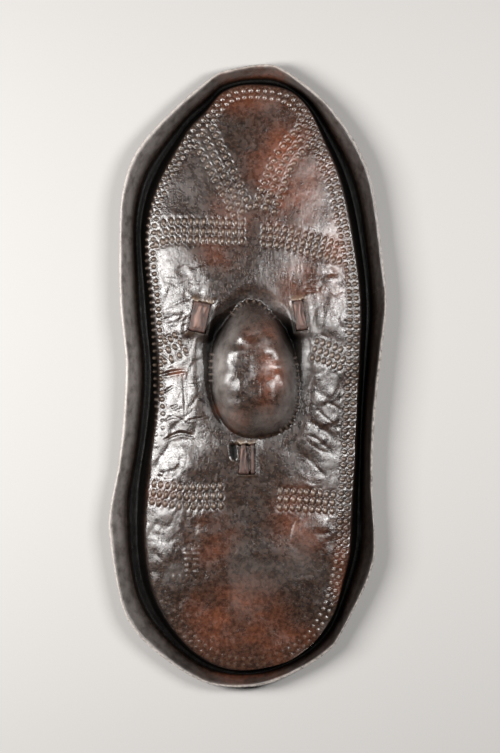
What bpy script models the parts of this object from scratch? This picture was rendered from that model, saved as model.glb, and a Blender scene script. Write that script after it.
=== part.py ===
"""A long oval hide shield lying on its back, face up.

One piece of thick hide is moulded into a domed field inside a deep channel and an upturned rim, with a
hand boss in the middle and rows of small embossed beads. Three hide thongs pass through pairs of slits
and lash a wooden grip behind the boss. Sizes are in metres. +Z is the face, +Y the top of the shield, and
the underside of the channel rests at height 0.
"""

import math

import bmesh
import bpy
import numpy as np
from mathutils.geometry import delaunay_2d_cdt

# The outlines below are drawn at the drawn size. Changing LENGTH or WIDTH stretches them.
LENGTH = 1.000
WIDTH = 0.445
DRAWN_LENGTH_MM = 1000.9
DRAWN_WIDTH_MM = 445.6
DRAWN_CENTRE_MM = (-0.9, -0.5)

# The hide and its heights above the surface that the shield lies on
HIDE = 0.0045
FIELD_EDGE_HEIGHT = 0.040
FIELD_CROWN = 0.016
CROWN_POWER = 2.5
RIM_CURVE_POWER = 1.3
# Height of the lip at eight places, clockwise from the top of the shield
RIM_HEIGHTS = (0.040, 0.044, 0.050, 0.046, 0.034, 0.038, 0.046, 0.046)
# Shares of the way from the field's edge to the lip
WALL_SHARE = 0.36
FLAT_END_SHARE = 0.50

# The hand boss
BOSS_LENGTH = 0.220
BOSS_WIDTH = 0.142
BOSS_HEIGHT = 0.046
BOSS_POWER = 3.0
DRAWN_BOSS_LENGTH_MM = 220.0
DRAWN_BOSS_WIDTH_MM = 142.0
BOSS_CENTRE_MM = (10, 11)
MOAT_DEPTH = 0.016
MOAT_WIDTH = 0.030
# Share of the moat's depth at eight places round the boss, clockwise from its top
MOAT_SHARES = (0.25, 1.0, 0.60, 0.35, 0.10, 0.35, 0.80, 1.0)

# Embossed beads
BEAD_HEIGHT = 0.0018
BEAD_CROWDING = 0.0030
BAND_MARGIN = 0.0085
BORDER_PITCH = 0.0112
BORDER_SPACING = 0.012
# How far inside the field's edge the border runs, at eight places clockwise from the top. On the left it
# runs down over the edge.
BORDER_INSETS = (0.013, 0.013, 0.013, 0.013, 0.013, 0.009, -0.004, 0.002)
BOSS_BEAD_PITCH = 0.0105
BOSS_BEAD_SPACING = 0.0075
VEE_PITCH = 0.013
BAND_PITCH = 0.0105

# The thongs, their slits and the grip
STRAP_THICKNESS = 0.0022
STRAP_SPAN = 0.046
STRAP_BEND = 0.0024
BEND_STEPS = 3
SLIT_PLAY = 0.0011
SEAT_GAP = 0.0004
PAD_MARGIN = 0.0025
PAD_FADE = 0.011
PAD_POINTS = 16
GRIP_WIDTH = 0.025
GRIP_THICKNESS = 0.015
PADDLE_THICKNESS = 0.009
PADDLE_PLAY = 0.0011
GRIP_CLEARANCE = 0.0015
GRIP_STEP = 0.015
GRIP_NECK = 0.010
PADDLE_OVERHANG = 0.0008
EYE_WALL = 0.006
EYE_PLAY = 0.0012

# How fine the meshes are: points in a ring, distance between free points, and where the rings lie, as
# shares of the way from the field's edge to the lip, of the boss's radius or of the moat's width
RIM_COLUMNS = 90
BOSS_COLUMNS = 34
BACK_BOSS_COLUMNS = 48
FACE_LATTICE = 0.024
BACK_LATTICE = 0.034
FACE_RIM_RINGS = (1.0, 0.84, 0.66, FLAT_END_SHARE, WALL_SHARE, 0.28, 0.18, 0.09)
FACE_BOSS_RINGS = (0.86, 0.70, 0.50, 0.25)
FACE_MOAT_RING = 0.6
BACK_SLOPE_RINGS = (0.75, 0.28, 0.16)
BACK_BOSS_RINGS = (0.85, 0.60)
BACK_BOSS_FOOT_RING = 0.96
BACK_MOAT_RINGS = (0.3, 0.7)
CURVE_SAMPLES = 1440
SLOPE_STEP = 0.0005
SMOOTH_BELOW = math.radians(32)

# Outlines in millimetres at the drawn size, clockwise from the top
RIM_DRAWN_MM = (
    (22, 500), (59, 491), (123, 441), (171, 377), (198, 313), (213, 217), (222, 118), (213, 25),
    (202, -87), (200, -190), (204, -276), (197, -314), (181, -354), (150, -414), (133, -439), (91, -469),
    (22, -498), (-53, -498), (-104, -476), (-154, -439), (-184, -407), (-205, -362), (-222, -263),
    (-222, -215), (-206, -127), (-196, 9), (-205, 113), (-206, 217), (-201, 296), (-178, 361),
    (-123, 424), (-64, 475), (-36, 490),
)
FIELD_DRAWN_MM = (
    (22, 465), (59, 459), (83, 444), (102, 419), (123, 372), (149, 305), (170, 201), (179, 120),
    (177, 0), (173, -119), (166, -207), (162, -279), (142, -367), (123, -407), (96, -439), (59, -460),
    (11, -471), (-37, -467), (-77, -448), (-112, -415), (-141, -367), (-158, -311), (-164, -240),
    (-155, -143), (-141, -15), (-149, 105), (-160, 217), (-144, 300), (-99, 387), (-67, 422),
    (-42, 452), (-13, 464),
)
BOSS_DRAWN_MM = (
    (4, 121), (23, 115), (36, 101), (58, 76), (70, 52), (78, 17), (81, -20), (80, -47), (70, -76),
    (51, -91), (25, -98), (3, -99), (-16, -94), (-33, -82), (-47, -62), (-57, -30), (-60, 9), (-59, 38),
    (-53, 61), (-42, 79), (-29, 96), (-14, 114),
)

# Bands of bead rows: middle line in millimetres, rows, spacing of the rows at each end, pitch
BANDS = (
    (((-88, 392), (-62, 362), (-30, 316), (-1, 258)), 3, (0.0185, 0.0145), VEE_PITCH),
    (((97, 392), (59, 345), (37, 292), (26, 262)), 3, (0.0148, 0.0155), VEE_PITCH),
    (((-157, 223), (-117, 232), (-4, 229)), 3, (0.0145, 0.0145), BAND_PITCH),
    (((20, 223), (48, 222), (69, 218), (126, 203), (156, 195)), 3, (0.0125, 0.0130), BAND_PITCH),
    (((-158, -187), (-101, -193), (-38, -192)), 3, (0.0150, 0.0150), BAND_PITCH),
    (((46, -197), (99, -200), (162, -206)), 3, (0.0128, 0.0128), BAND_PITCH),
    (((-145, 36), (-120, 45), (-104, 56)), 3, (0.0150, 0.0150), BAND_PITCH),
    (((102, 44), (128, 36), (157, 24)), 3, (0.0135, 0.0135), BAND_PITCH),
)

# Thongs: name, centre in millimetres, lean of the strap in degrees, width, gap between its two strands
THONGS = (
    ("thong_upper_left", (-77, 94), -11.0, 0.028, 0.0),
    ("thong_upper_right", (83, 97), 8.0, 0.017, 0.0),
    ("thong_lower", (-2, -133), 0.0, 0.026, 0.006),
)
# Where the gap between two strands lies, from the strap's middle line
STRAND_GAP_OFFSET = 0.003

# Colour, roughness
HIDE_LOOK = ((0.075, 0.042, 0.030), 0.38)
THONG_LOOK = ((0.20, 0.115, 0.08), 0.55)
GRIP_LOOK = ((0.16, 0.085, 0.045), 0.45)

MM = 0.001
FULL_TURN = 2 * math.pi
# The grip's section: below 1 it is squarer than an ellipse, and REACH is its widest point before scaling
LIMB_SIDES = 12
LIMB_SQUARENESS = 0.6
LIMB_REACH = math.cos(FULL_TURN / LIMB_SIDES / 2) ** LIMB_SQUARENESS


def drawn(points, along_x, along_y, centre):
    """Points drawn in millimetres, moved to the centre and stretched, in metres."""
    shifted = np.array(points, float) - np.array(centre, float)
    return shifted * MM * np.array((along_x, along_y))


def on_shield(points):
    """Points drawn on the whole shield, in metres."""
    return drawn(points, WIDTH / (DRAWN_WIDTH_MM * MM), LENGTH / (DRAWN_LENGTH_MM * MM), DRAWN_CENTRE_MM)


def even_steps(line, count, closed):
    """The polyline sampled at even distances. A closed line doesn't repeat its first point."""
    if closed:
        line = np.vstack([line, line[:1]])
    run = np.concatenate([[0], np.cumsum(np.linalg.norm(np.diff(line, axis=0), axis=1))])
    wanted = np.linspace(0, run[-1], count + 1 if closed else count)
    if closed:
        wanted = wanted[:-1]
    return np.stack([np.interp(wanted, run, line[:, k]) for k in (0, 1)], axis=1)


def smooth_line(points, closed, steps=40):
    """A Catmull-Rom curve through the points, as a fine polyline."""
    points = np.array(points, float)
    if closed:
        around = np.vstack([points[-1:], points, points[:2]])
    else:
        first = 2 * points[0] - points[1]
        last = 2 * points[-1] - points[-2]
        around = np.vstack([first, points, last])
    t = np.linspace(0, 1, steps, endpoint=False)[:, None]
    spans = []
    for a, b, c, d in zip(around, around[1:], around[2:], around[3:]):
        cubic = 3 * b - a - 3 * c + d
        spans.append(0.5 * (2 * b + (c - a) * t + (2 * a - 5 * b + 4 * c - d) * t**2 + cubic * t**3))
    if not closed:
        spans.append(points[-1:])
    return np.vstack(spans)


def offset_line(line, inward, closed):
    """The line moved sideways: inward for a closed line that runs clockwise, else to its right."""
    if closed:
        tangent = np.roll(line, -1, axis=0) - np.roll(line, 1, axis=0)
    else:
        tangent = np.gradient(line, axis=0)
    tangent /= np.linalg.norm(tangent, axis=1)[:, None]
    side = np.stack([tangent[:, 1], -tangent[:, 0]], axis=1)
    return line + side * inward


def radius_of(outline):
    """The outline's distance from its own centre, as a function of the angle."""
    angle = np.arctan2(outline[:, 1], outline[:, 0])
    order = np.argsort(angle)
    angle = angle[order]
    reach = np.hypot(outline[:, 0], outline[:, 1])[order]
    return lambda a: np.interp(a, angle, reach, period=FULL_TURN)


def around(values, angle):
    """Values given at even steps clockwise from the top, read smoothly at any angle."""
    place = (0.25 - angle / FULL_TURN) % 1.0 * len(values)
    low = np.floor(place).astype(int) % len(values)
    share = place - np.floor(place)
    share = share * share * (3 - 2 * share)
    table = np.array(values)
    return table[low] * (1 - share) + table[(low + 1) % len(values)] * share


def rise(t):
    """0 before t = 0, 1 after t = 1, and smooth between."""
    t = np.clip(t, 0, 1)
    return t * t * (3 - 2 * t)


RIM_LINE = even_steps(smooth_line(on_shield(RIM_DRAWN_MM), True), CURVE_SAMPLES, True)
FIELD_LINE = even_steps(smooth_line(on_shield(FIELD_DRAWN_MM), True), CURVE_SAMPLES, True)
BOSS_CENTRE = on_shield([BOSS_CENTRE_MM])[0]
BOSS_STRETCH = (BOSS_WIDTH / (DRAWN_BOSS_WIDTH_MM * MM), BOSS_LENGTH / (DRAWN_BOSS_LENGTH_MM * MM))
BOSS_DRAWN = drawn(BOSS_DRAWN_MM, *BOSS_STRETCH, BOSS_CENTRE_MM)
BOSS_LINE = even_steps(smooth_line(BOSS_DRAWN, True), CURVE_SAMPLES, True)
rim_radius = radius_of(RIM_LINE)
field_radius = radius_of(FIELD_LINE)
boss_radius = radius_of(BOSS_LINE)


def moulded_height(x, y):
    """Height of the hide's face without beads or thong pads."""
    angle = np.arctan2(y, x)
    reach = np.hypot(x, y)
    edge = field_radius(angle)
    gap = rim_radius(angle) - HIDE - edge
    out = (reach - edge) / gap
    share = np.minimum(reach / edge, 1)
    field = FIELD_EDGE_HEIGHT + FIELD_CROWN * (1 - share**CROWN_POWER)
    u = np.clip(out / WALL_SHARE, 0, 1)
    edge_slope = FIELD_CROWN * CROWN_POWER / edge
    wall = FIELD_EDGE_HEIGHT * (2 * u**3 - 3 * u**2 + 1) + HIDE * (3 * u**2 - 2 * u**3)
    wall = wall - edge_slope * WALL_SHARE * gap * (u**3 - 2 * u**2 + u)
    climb = np.clip((out - FLAT_END_SHARE) / (1 - FLAT_END_SHARE), 0, 1)
    rim = (around(RIM_HEIGHTS, angle) - HIDE) * climb**RIM_CURVE_POWER
    height = np.where(out < 0, field, wall + rim)
    return height + boss_rise(x, y)


def boss_rise(x, y):
    """What the boss and the moat round it add to the field's height."""
    dx, dy = x - BOSS_CENTRE[0], y - BOSS_CENTRE[1]
    angle = np.arctan2(dy, dx)
    reach = np.hypot(dx, dy)
    edge = boss_radius(angle)
    moat = MOAT_DEPTH * around(MOAT_SHARES, angle)
    dome = (BOSS_HEIGHT + moat) * (1 - np.minimum(reach / edge, 1) ** BOSS_POWER) - moat
    outside = -moat * (1 - rise((reach - edge) / MOAT_WIDTH))
    return np.where(reach < edge, dome, outside)


class Pad:
    """The flat place that a thong lies on, with its own axes along and across the strap."""

    def __init__(self, name, centre_mm, lean, width, strand_gap):
        self.name = name
        self.width = width
        self.strand_gap = strand_gap
        self.centre = on_shield([centre_mm])[0]
        lean = math.radians(lean)
        self.along = np.array((-math.sin(lean), math.cos(lean)))
        self.across = np.array((math.cos(lean), math.sin(lean)))
        self.half_along = STRAP_SPAN / 2 + STRAP_THICKNESS / 2 + SLIT_PLAY + PAD_MARGIN
        self.half_across = width / 2 + SLIT_PLAY + PAD_MARGIN
        self.height = float(moulded_height(*self.centre))

    def place(self, along, across):
        """The point of the shield this far along and across the strap."""
        return self.centre + self.along * along + self.across * across

    def distance(self, x, y):
        """How far a point lies outside the pad."""
        dx, dy = x - self.centre[0], y - self.centre[1]
        along = np.abs(dx * self.along[0] + dy * self.along[1])
        across = np.abs(dx * self.across[0] + dy * self.across[1])
        return np.hypot(np.maximum(along - self.half_along, 0), np.maximum(across - self.half_across, 0))

    def outline(self):
        """The pad's edge, with points close enough together for the mesh round it."""
        a, b = self.half_along, self.half_across
        corners = np.array([self.place(a, b), self.place(-a, b), self.place(-a, -b), self.place(a, -b)])
        return even_steps(corners, PAD_POINTS, True)


PADS = [Pad(*thong) for thong in THONGS]


def face_height(x, y):
    """Height of the hide's face without beads."""
    x, y = np.asarray(x, float), np.asarray(y, float)
    height = moulded_height(x, y)
    for pad in PADS:
        share = 1 - rise(pad.distance(x, y) / PAD_FADE)
        height = height * (1 - share) + pad.height * share
    return height


def face_slope(x, y):
    """The slope of the face along X and along Y."""
    step = SLOPE_STEP
    along_x = (face_height(x + step, y) - face_height(x - step, y)) / (2 * step)
    along_y = (face_height(x, y + step) - face_height(x, y - step)) / (2 * step)
    return along_x, along_y


def underside_height(x, y):
    """Height of the hide's back: the lowest that a ball of the hide's thickness reaches below the face."""
    x, y = np.asarray(x, float), np.asarray(y, float)
    lowest = face_height(x, y) - HIDE
    for share in (0.35, 0.65, 0.85, 0.97):
        drop = HIDE * math.sqrt(1 - share**2)
        for turn in np.arange(0, FULL_TURN, FULL_TURN / 12):
            near = face_height(x + share * HIDE * math.cos(turn), y + share * HIDE * math.sin(turn))
            lowest = np.minimum(lowest, near - drop)
    return np.maximum(lowest, 0)


def between(share, columns):
    """A ring of points this share of the way from the field's edge to the lip."""
    angle = column_angles(columns)
    low = field_radius(angle)
    high = rim_radius(angle) - HIDE
    reach = low + (high - low) * share
    return np.stack([reach * np.cos(angle), reach * np.sin(angle)], axis=1)


def column_angles(columns):
    """Angles that space the points evenly along the rim."""
    line = even_steps(RIM_LINE, columns, True)
    return np.arctan2(line[:, 1], line[:, 0])


def round_boss(inward, columns):
    """A ring of points this far inside the boss's foot, or outside it if the distance is negative."""
    return even_steps(offset_line(BOSS_LINE, inward, True), columns, True) + BOSS_CENTRE


def boss_ring(share, columns):
    """A ring of points at this share of the boss's radius."""
    line = even_steps(BOSS_LINE, columns, True)
    return line * share + BOSS_CENTRE


class PointSet:
    """Points of a surface before they are joined into triangles: plan position, height, and fixed loops."""

    def __init__(self, surface):
        self.surface = surface
        self.plan = np.zeros((0, 2))
        self.height = np.zeros(0)
        self.edges = []

    def add(self, plan, lift=0.0, loop=False):
        """Adds points on the surface, raised by lift. A loop keeps its edges in the mesh."""
        first = len(self.plan)
        self.plan = np.vstack([self.plan, plan])
        self.height = np.concatenate([self.height, self.surface(plan[:, 0], plan[:, 1]) + lift])
        if loop:
            count = len(plan)
            self.edges += [(first + k, first + (k + 1) % count) for k in range(count)]

    def clear_of(self, plan, distance):
        """Those of the points that lie this far from every point added so far."""
        apart = np.linalg.norm(plan[:, None] - self.plan[None], axis=2)
        return plan[apart.min(axis=1) > distance]

    def triangles(self):
        """The points joined: plan positions, heights and triangles."""
        points, _, faces, came_from, _, _ = delaunay_2d_cdt(
            [tuple(p) for p in self.plan], self.edges, [], 1, 1e-7
        )
        height = np.array([self.height[ids[0]] for ids in came_from])
        return np.array([tuple(p) for p in points]), height, faces


def clear_of_pads(plan, distance):
    """Those of the points that lie this far from every thong pad."""
    for pad in PADS:
        plan = plan[pad.distance(plan[:, 0], plan[:, 1]) > distance]
    return plan


def inside_field(plan, margin):
    """Those of the points that lie this far inside the field's edge."""
    angle = np.arctan2(plan[:, 1], plan[:, 0])
    return plan[np.hypot(plan[:, 0], plan[:, 1]) < field_radius(angle) - margin]


def bead_band(middle, rows, spacing, pitch, closed):
    """Bead tips and the low points round them, for rows that run side by side along a middle line."""
    length = np.linalg.norm(np.diff(middle, axis=0), axis=1).sum()
    count = max(2, round(length / pitch))
    fine = even_steps(middle, 2 * count + (0 if closed else 1), closed)
    width = np.linspace(spacing[0], spacing[1], len(fine))[:, None]
    side = (offset_line(fine, 1.0, closed) - fine) * width
    tips, lows = [], []
    for row in range(rows):
        shift = side * (row - (rows - 1) / 2)
        tips.append((fine + shift)[1::2])
        lows.append((fine + shift)[0::2])
    for row in range(rows + 1):
        lows.append((fine + side * (row - rows / 2))[1::2])
    return np.vstack(tips), np.vstack(lows)


def add_beads(points, band, margin):
    """Adds a band's points, without those on a pad, near other beads or too near the field's edge."""
    tips, lows = (clear_of_pads(inside_field(plan, margin), PAD_MARGIN) for plan in band)
    tips = points.clear_of(tips, BEAD_CROWDING)
    points.add(points.clear_of(lows, BEAD_CROWDING), 0.0)
    points.add(tips, BEAD_HEIGHT)


def lattice(spacing):
    """A grid of staggered points that covers the shield."""
    row_height = spacing * math.sqrt(3) / 2
    columns = np.arange(-WIDTH / 2, WIDTH / 2, spacing)
    rows = np.arange(-LENGTH / 2, LENGTH / 2, row_height)
    stagger = spacing / 2
    return np.array([(x + stagger * (k % 2), y) for k, y in enumerate(rows) for x in columns])


def face_points():
    """All points of the hide's face."""
    points = PointSet(face_height)
    for share in FACE_RIM_RINGS:
        points.add(between(share, RIM_COLUMNS), loop=True)
    for pad in PADS:
        points.add(pad.outline(), loop=True)
    insets = around(BORDER_INSETS, np.arctan2(FIELD_LINE[:, 1], FIELD_LINE[:, 0]))
    border = offset_line(FIELD_LINE, insets[:, None], True)
    spacing = (BORDER_SPACING, BORDER_SPACING)
    add_beads(points, bead_band(border, 2, spacing, BORDER_PITCH, True), BEAD_HEIGHT)
    spacing = (BOSS_BEAD_SPACING, BOSS_BEAD_SPACING)
    add_beads(points, bead_band(BOSS_LINE + BOSS_CENTRE, 1, spacing, BOSS_BEAD_PITCH, True), 0)
    for share in FACE_BOSS_RINGS:
        points.add(boss_ring(share, round(BOSS_COLUMNS * share)))
    points.add(clear_of_pads(round_boss(-MOAT_WIDTH * FACE_MOAT_RING, BOSS_COLUMNS), PAD_MARGIN))
    for line_mm, rows, spacing, pitch in BANDS:
        middle = smooth_line(on_shield(line_mm), False)
        add_beads(points, bead_band(middle, rows, spacing, pitch, False), BAND_MARGIN)
    fill = clear_of_pads(inside_field(lattice(FACE_LATTICE), FACE_LATTICE / 3), FACE_LATTICE / 3)
    points.add(points.clear_of(fill, FACE_LATTICE * 0.55))
    return points


def behind(plan):
    """These points of the face, moved in plan to where the hide's back lies behind them."""
    along_x, along_y = face_slope(plan[:, 0], plan[:, 1])
    shift = HIDE / np.sqrt(1 + along_x**2 + along_y**2)
    return plan + np.stack([along_x, along_y], axis=1) * shift[:, None]


def back_points():
    """All points of the hide's back."""
    points = PointSet(underside_height)
    angle = column_angles(RIM_COLUMNS)
    lip = np.stack([np.cos(angle), np.sin(angle)], axis=1) * rim_radius(angle)[:, None]
    points.add(lip, loop=True)
    points.height[:] = face_height(lip[:, 0], lip[:, 1])
    for share in (FLAT_END_SHARE, WALL_SHARE):
        points.add(between(share, RIM_COLUMNS), loop=True)
    for share in BACK_SLOPE_RINGS:
        points.add(behind(between(share, RIM_COLUMNS)), loop=True)
    points.add(behind(between(0.0, RIM_COLUMNS // 2)), loop=True)
    for pad in PADS:
        points.add(pad.outline(), loop=True)
    rings = [round_boss(-HIDE * 0.4, BACK_BOSS_COLUMNS), round_boss(HIDE * 0.7, BACK_BOSS_COLUMNS)]
    rings += [behind(boss_ring(BACK_BOSS_FOOT_RING, BACK_BOSS_COLUMNS))]
    rings += [behind(boss_ring(share, BACK_BOSS_COLUMNS // 2)) for share in BACK_BOSS_RINGS]
    rings += [round_boss(-MOAT_WIDTH * share, BOSS_COLUMNS) for share in BACK_MOAT_RINGS]
    for ring in rings:
        points.add(points.clear_of(clear_of_pads(ring, PAD_MARGIN), HIDE / 4))
    fill = clear_of_pads(inside_field(lattice(BACK_LATTICE), BACK_LATTICE / 2), BACK_LATTICE / 3)
    points.add(points.clear_of(fill, BACK_LATTICE * 0.5))
    return points


def hide_mesh():
    """The hide as one closed shell: face, back, and the cut edge of the lip between them."""
    face_plan, face_z, faces = face_points().triangles()
    back_plan, back_z, back_faces = back_points().triangles()
    first = len(face_plan)
    polygons = [tuple(f) for f in faces]
    polygons += [tuple(first + i for i in reversed(f)) for f in back_faces]
    for k in range(RIM_COLUMNS):
        n = (k + 1) % RIM_COLUMNS
        polygons.append((k, n, first + n))
        polygons.append((k, first + n, first + k))
    return np.vstack([np.column_stack([face_plan, face_z]), np.column_stack([back_plan, back_z])]), polygons


def material(name, colour, roughness):
    """A plain material of this colour."""
    made = bpy.data.materials.new(name)
    made.use_nodes = True
    shader = made.node_tree.nodes["Principled BSDF"]
    shader.inputs["Base Color"].default_value = (*colour, 1.0)
    shader.inputs["Roughness"].default_value = roughness
    return made


def add_object(name, points, polygons, look=None):
    """A mesh object from points and polygons, its faces turned outward."""
    mesh = bpy.data.meshes.new(name)
    mesh.from_pydata([tuple(map(float, p)) for p in points], [], polygons)
    mesh.validate()
    made = bpy.data.objects.new(name, mesh)
    bpy.context.scene.collection.objects.link(made)
    turn_outward(mesh)
    if look:
        mesh.materials.append(look)
        mesh.shade_smooth()
        mesh.set_sharp_from_angle(angle=SMOOTH_BELOW)
    return made


def turn_outward(mesh):
    """Makes a closed mesh's faces point out."""
    work = bmesh.new()
    work.from_mesh(mesh)
    bmesh.ops.recalc_face_normals(work, faces=work.faces)
    work.to_mesh(mesh)
    work.free()


def block(name, pad, along, across, low, high):
    """A box in a pad's own axes: its extent along and across the strap, and its lowest and highest points."""
    corners = [
        (*pad.place(a, b), z)
        for z in (low, high)
        for a, b in (
            (along[0], across[0]), (along[1], across[0]), (along[1], across[1]), (along[0], across[1]),
        )
    ]
    sides = [(0, 1, 2, 3), (4, 5, 6, 7)]
    sides += [(k, (k + 1) % 4, 4 + (k + 1) % 4, 4 + k) for k in range(4)]
    return add_object(name, corners, sides)


def boolean(target, tool, operation):
    """Cuts or joins with another object, which is left out of the model."""
    step = target.modifiers.new(operation.lower() + "_" + tool.name, "BOOLEAN")
    step.operation = operation
    step.solver = "EXACT"
    step.object = tool
    tool.hide_render = True
    tool.display_type = "WIRE"


def cut_slits(hide):
    """The pair of slits that each thong passes through."""
    half = STRAP_THICKNESS / 2 + SLIT_PLAY
    for pad in PADS:
        reach = pad.width / 2 + SLIT_PLAY
        low, high = pad.height - 3 * HIDE, pad.height + 3 * HIDE
        for end, centre in (("top", STRAP_SPAN / 2), ("bottom", -STRAP_SPAN / 2)):
            along = (centre - half, centre + half)
            cutter = block(f"slit_{pad.name}_{end}", pad, along, (-reach, reach), low, high)
            boolean(hide, cutter, "DIFFERENCE")


def strap_section(pad):
    """The closed line that the middle of a strap follows, along the strap and in height."""
    top = pad.height + SEAT_GAP + STRAP_THICKNESS / 2
    bottom = paddle_top(pad) - PADDLE_THICKNESS - SEAT_GAP - STRAP_THICKNESS / 2
    line = []
    for end, level, start in ((1, 1, 90), (1, -1, 0), (-1, -1, -90), (-1, 1, 180)):
        along = end * (STRAP_SPAN / 2 - STRAP_BEND)
        height = (top if level > 0 else bottom) - level * STRAP_BEND
        for step in range(BEND_STEPS + 1):
            angle = math.radians(start - 90 * step / BEND_STEPS)
            line.append((along + STRAP_BEND * math.cos(angle), height + STRAP_BEND * math.sin(angle)))
    return np.array(line)


def thong(pad, look):
    """A hide strap that runs through both slits and round the grip, as one closed band."""
    line = strap_section(pad)
    inward = offset_line(line, STRAP_THICKNESS / 2, True)
    outward = offset_line(line, -STRAP_THICKNESS / 2, True)
    half = pad.width / 2
    points = []
    for inner, outer in zip(inward, outward):
        for along, height in (inner, outer):
            points += [(*pad.place(along, side), height) for side in (-half, half)]
    polygons = []
    count = len(line)
    for k in range(count):
        a, b = 4 * k, 4 * ((k + 1) % count)
        polygons += [(a, a + 1, b + 1, b), (a + 2, b + 2, b + 3, a + 3)]
        polygons += [(a, b, b + 2, a + 2), (a + 1, a + 3, b + 3, b + 1)]
    strap = add_object(pad.name, points, polygons, look)
    if pad.strand_gap:
        reach = STRAP_SPAN / 2 - STRAP_BEND
        low, high = pad.height - HIDE / 2, pad.height + 3 * STRAP_THICKNESS
        side = (STRAND_GAP_OFFSET - pad.strand_gap / 2, STRAND_GAP_OFFSET + pad.strand_gap / 2)
        boolean(strap, block("strand_gap_" + pad.name, pad, (-reach, reach), side, low, high), "DIFFERENCE")
    return strap


def paddle_top(pad):
    """Height of a grip paddle's upper face, just under the hide."""
    return pad.height - HIDE - SEAT_GAP


def paddle_half():
    """Half the size of a paddle along the strap: what fits inside the strap's loop."""
    return STRAP_SPAN / 2 - STRAP_THICKNESS / 2 - PADDLE_PLAY


def room_under(x, y):
    """The highest that the grip may come round this place, over the way to its neighbouring places."""
    reach = np.linspace(-GRIP_STEP, GRIP_STEP, 9)
    around_x, around_y = np.meshgrid(x + reach, y + reach)
    return float(underside_height(around_x, around_y).min()) - GRIP_CLEARANCE


def limb(name, stations, look=None):
    """A rounded bar with flat ends. Each station gives its middle, side direction, half width, low, high."""
    sides = LIMB_SIDES
    points = []
    for middle, side, half, low, high in stations:
        for k in range(sides):
            angle = FULL_TURN * (k + 0.5) / sides
            wide, tall = math.cos(angle), math.sin(angle)
            wide = math.copysign(abs(wide) ** LIMB_SQUARENESS, wide) / LIMB_REACH * half
            tall = math.copysign(abs(tall) ** LIMB_SQUARENESS, tall) / LIMB_REACH
            points.append((*(middle + side * wide), (low + high) / 2 + tall * (high - low) / 2))
    count = len(stations)
    polygons = [tuple(range(sides)), tuple(range((count - 1) * sides, count * sides))]
    for row in range(count - 1):
        a, b = row * sides, (row + 1) * sides
        polygons += [(a + k, a + (k + 1) % sides, b + (k + 1) % sides, b + k) for k in range(sides)]
    return add_object(name, points, polygons, look)


def paddle(pad, outer, inner):
    """The two ends of a crossbar's paddle under a pad, from this far across the strap to that far."""
    top = paddle_top(pad)
    size = (pad.along, paddle_half(), top - PADDLE_THICKNESS, top)
    return [(pad.place(0, outer), *size), (pad.place(0, inner), *size)]


def crossbar(left, right, look):
    """The grip's upper bar, from one upper thong to the other, passing under the moat and the boss."""
    left_end = left.width / 2 + PADDLE_OVERHANG
    right_end = right.width / 2 + PADDLE_OVERHANG
    start = left.place(0, left_end) + np.array((GRIP_NECK, 0))
    end = right.place(0, -right_end) - np.array((GRIP_NECK, 0))
    count = round((end[0] - start[0]) / GRIP_STEP)
    middles = [start + (end - start) * k / count for k in range(count + 1)]
    level = min(room_under(*middle) for middle in middles)
    upright = np.array((0.0, 1.0))
    stations = paddle(left, -left.half_across, left_end)
    stations += [(m, upright, GRIP_WIDTH / 2, level - GRIP_THICKNESS, level) for m in middles]
    stations += paddle(right, -right_end, right.half_across)
    return limb("grip", stations, look), level


def upright_bar(lower, join, level):
    """The upright that the hand holds, from the upper bar down to a paddle with an eye for the thong."""
    side = np.array((1.0, 0.0))
    x = lower.centre[0]
    foot = lower.centre[1] - paddle_half()
    eye_end = lower.centre[1] + STRAP_SPAN / 2 + STRAP_THICKNESS / 2 + EYE_PLAY + EYE_WALL
    wide = lower.width / 2 + EYE_PLAY + EYE_WALL
    top = paddle_top(lower)
    low = top - PADDLE_THICKNESS
    end_top = min(top, float(underside_height(x, eye_end)) - GRIP_CLEARANCE)
    shoulder = lower.centre[1] + STRAP_SPAN / 2
    stations = [((x, foot), side, wide, low, top), ((x, shoulder), side, wide, low, top),
                ((x, eye_end), side, wide, low, end_top)]
    for y in np.linspace(eye_end + GRIP_STEP, join, 5):
        stations.append(((x, y), side, GRIP_WIDTH / 2, level - GRIP_THICKNESS, level))
    stations = [(np.array(s[0]), *s[1:]) for s in stations]
    return limb("grip_upright", stations)


def grip(look):
    """The T-shaped wooden grip, lashed to the hide by all three thongs."""
    left, right, lower = PADS
    bar, level = crossbar(left, right, look)
    join = (left.centre[1] + right.centre[1]) / 2
    boolean(bar, upright_bar(lower, join, level), "UNION")
    half = STRAP_THICKNESS / 2 + EYE_PLAY
    side = lower.width / 2 + EYE_PLAY
    centre = STRAP_SPAN / 2
    low = paddle_top(lower) - 2 * PADDLE_THICKNESS
    eye = block("grip_eye", lower, (centre - half, centre + half), (-side, side), low, lower.height)
    boolean(bar, eye, "DIFFERENCE")
    return bar


def build():
    """Clears the scene and builds every piece."""
    for old in list(bpy.data.objects):
        bpy.data.objects.remove(old)
    hide = add_object("hide", *hide_mesh(), material("hide", *HIDE_LOOK))
    cut_slits(hide)
    thong_look = material("thong", *THONG_LOOK)
    for pad in PADS:
        thong(pad, thong_look)
    grip(material("grip_wood", *GRIP_LOOK))


build()
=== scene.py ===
"""Looks of the long oval hide shield, seen from above as it lies on its back.

The moulded hide is a fine mesh with its embossed beads, dents, creases and frayed slits. It follows the
outlines and heights of the solid hide, apart from softer shoulders, a fuller boss and a shallower moat
beside it. Metres, +Z out of the face, +Y to the top.
"""

import math

import bpy
import numpy as np
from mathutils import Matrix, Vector
from mathutils.geometry import delaunay_2d_cdt


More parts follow.
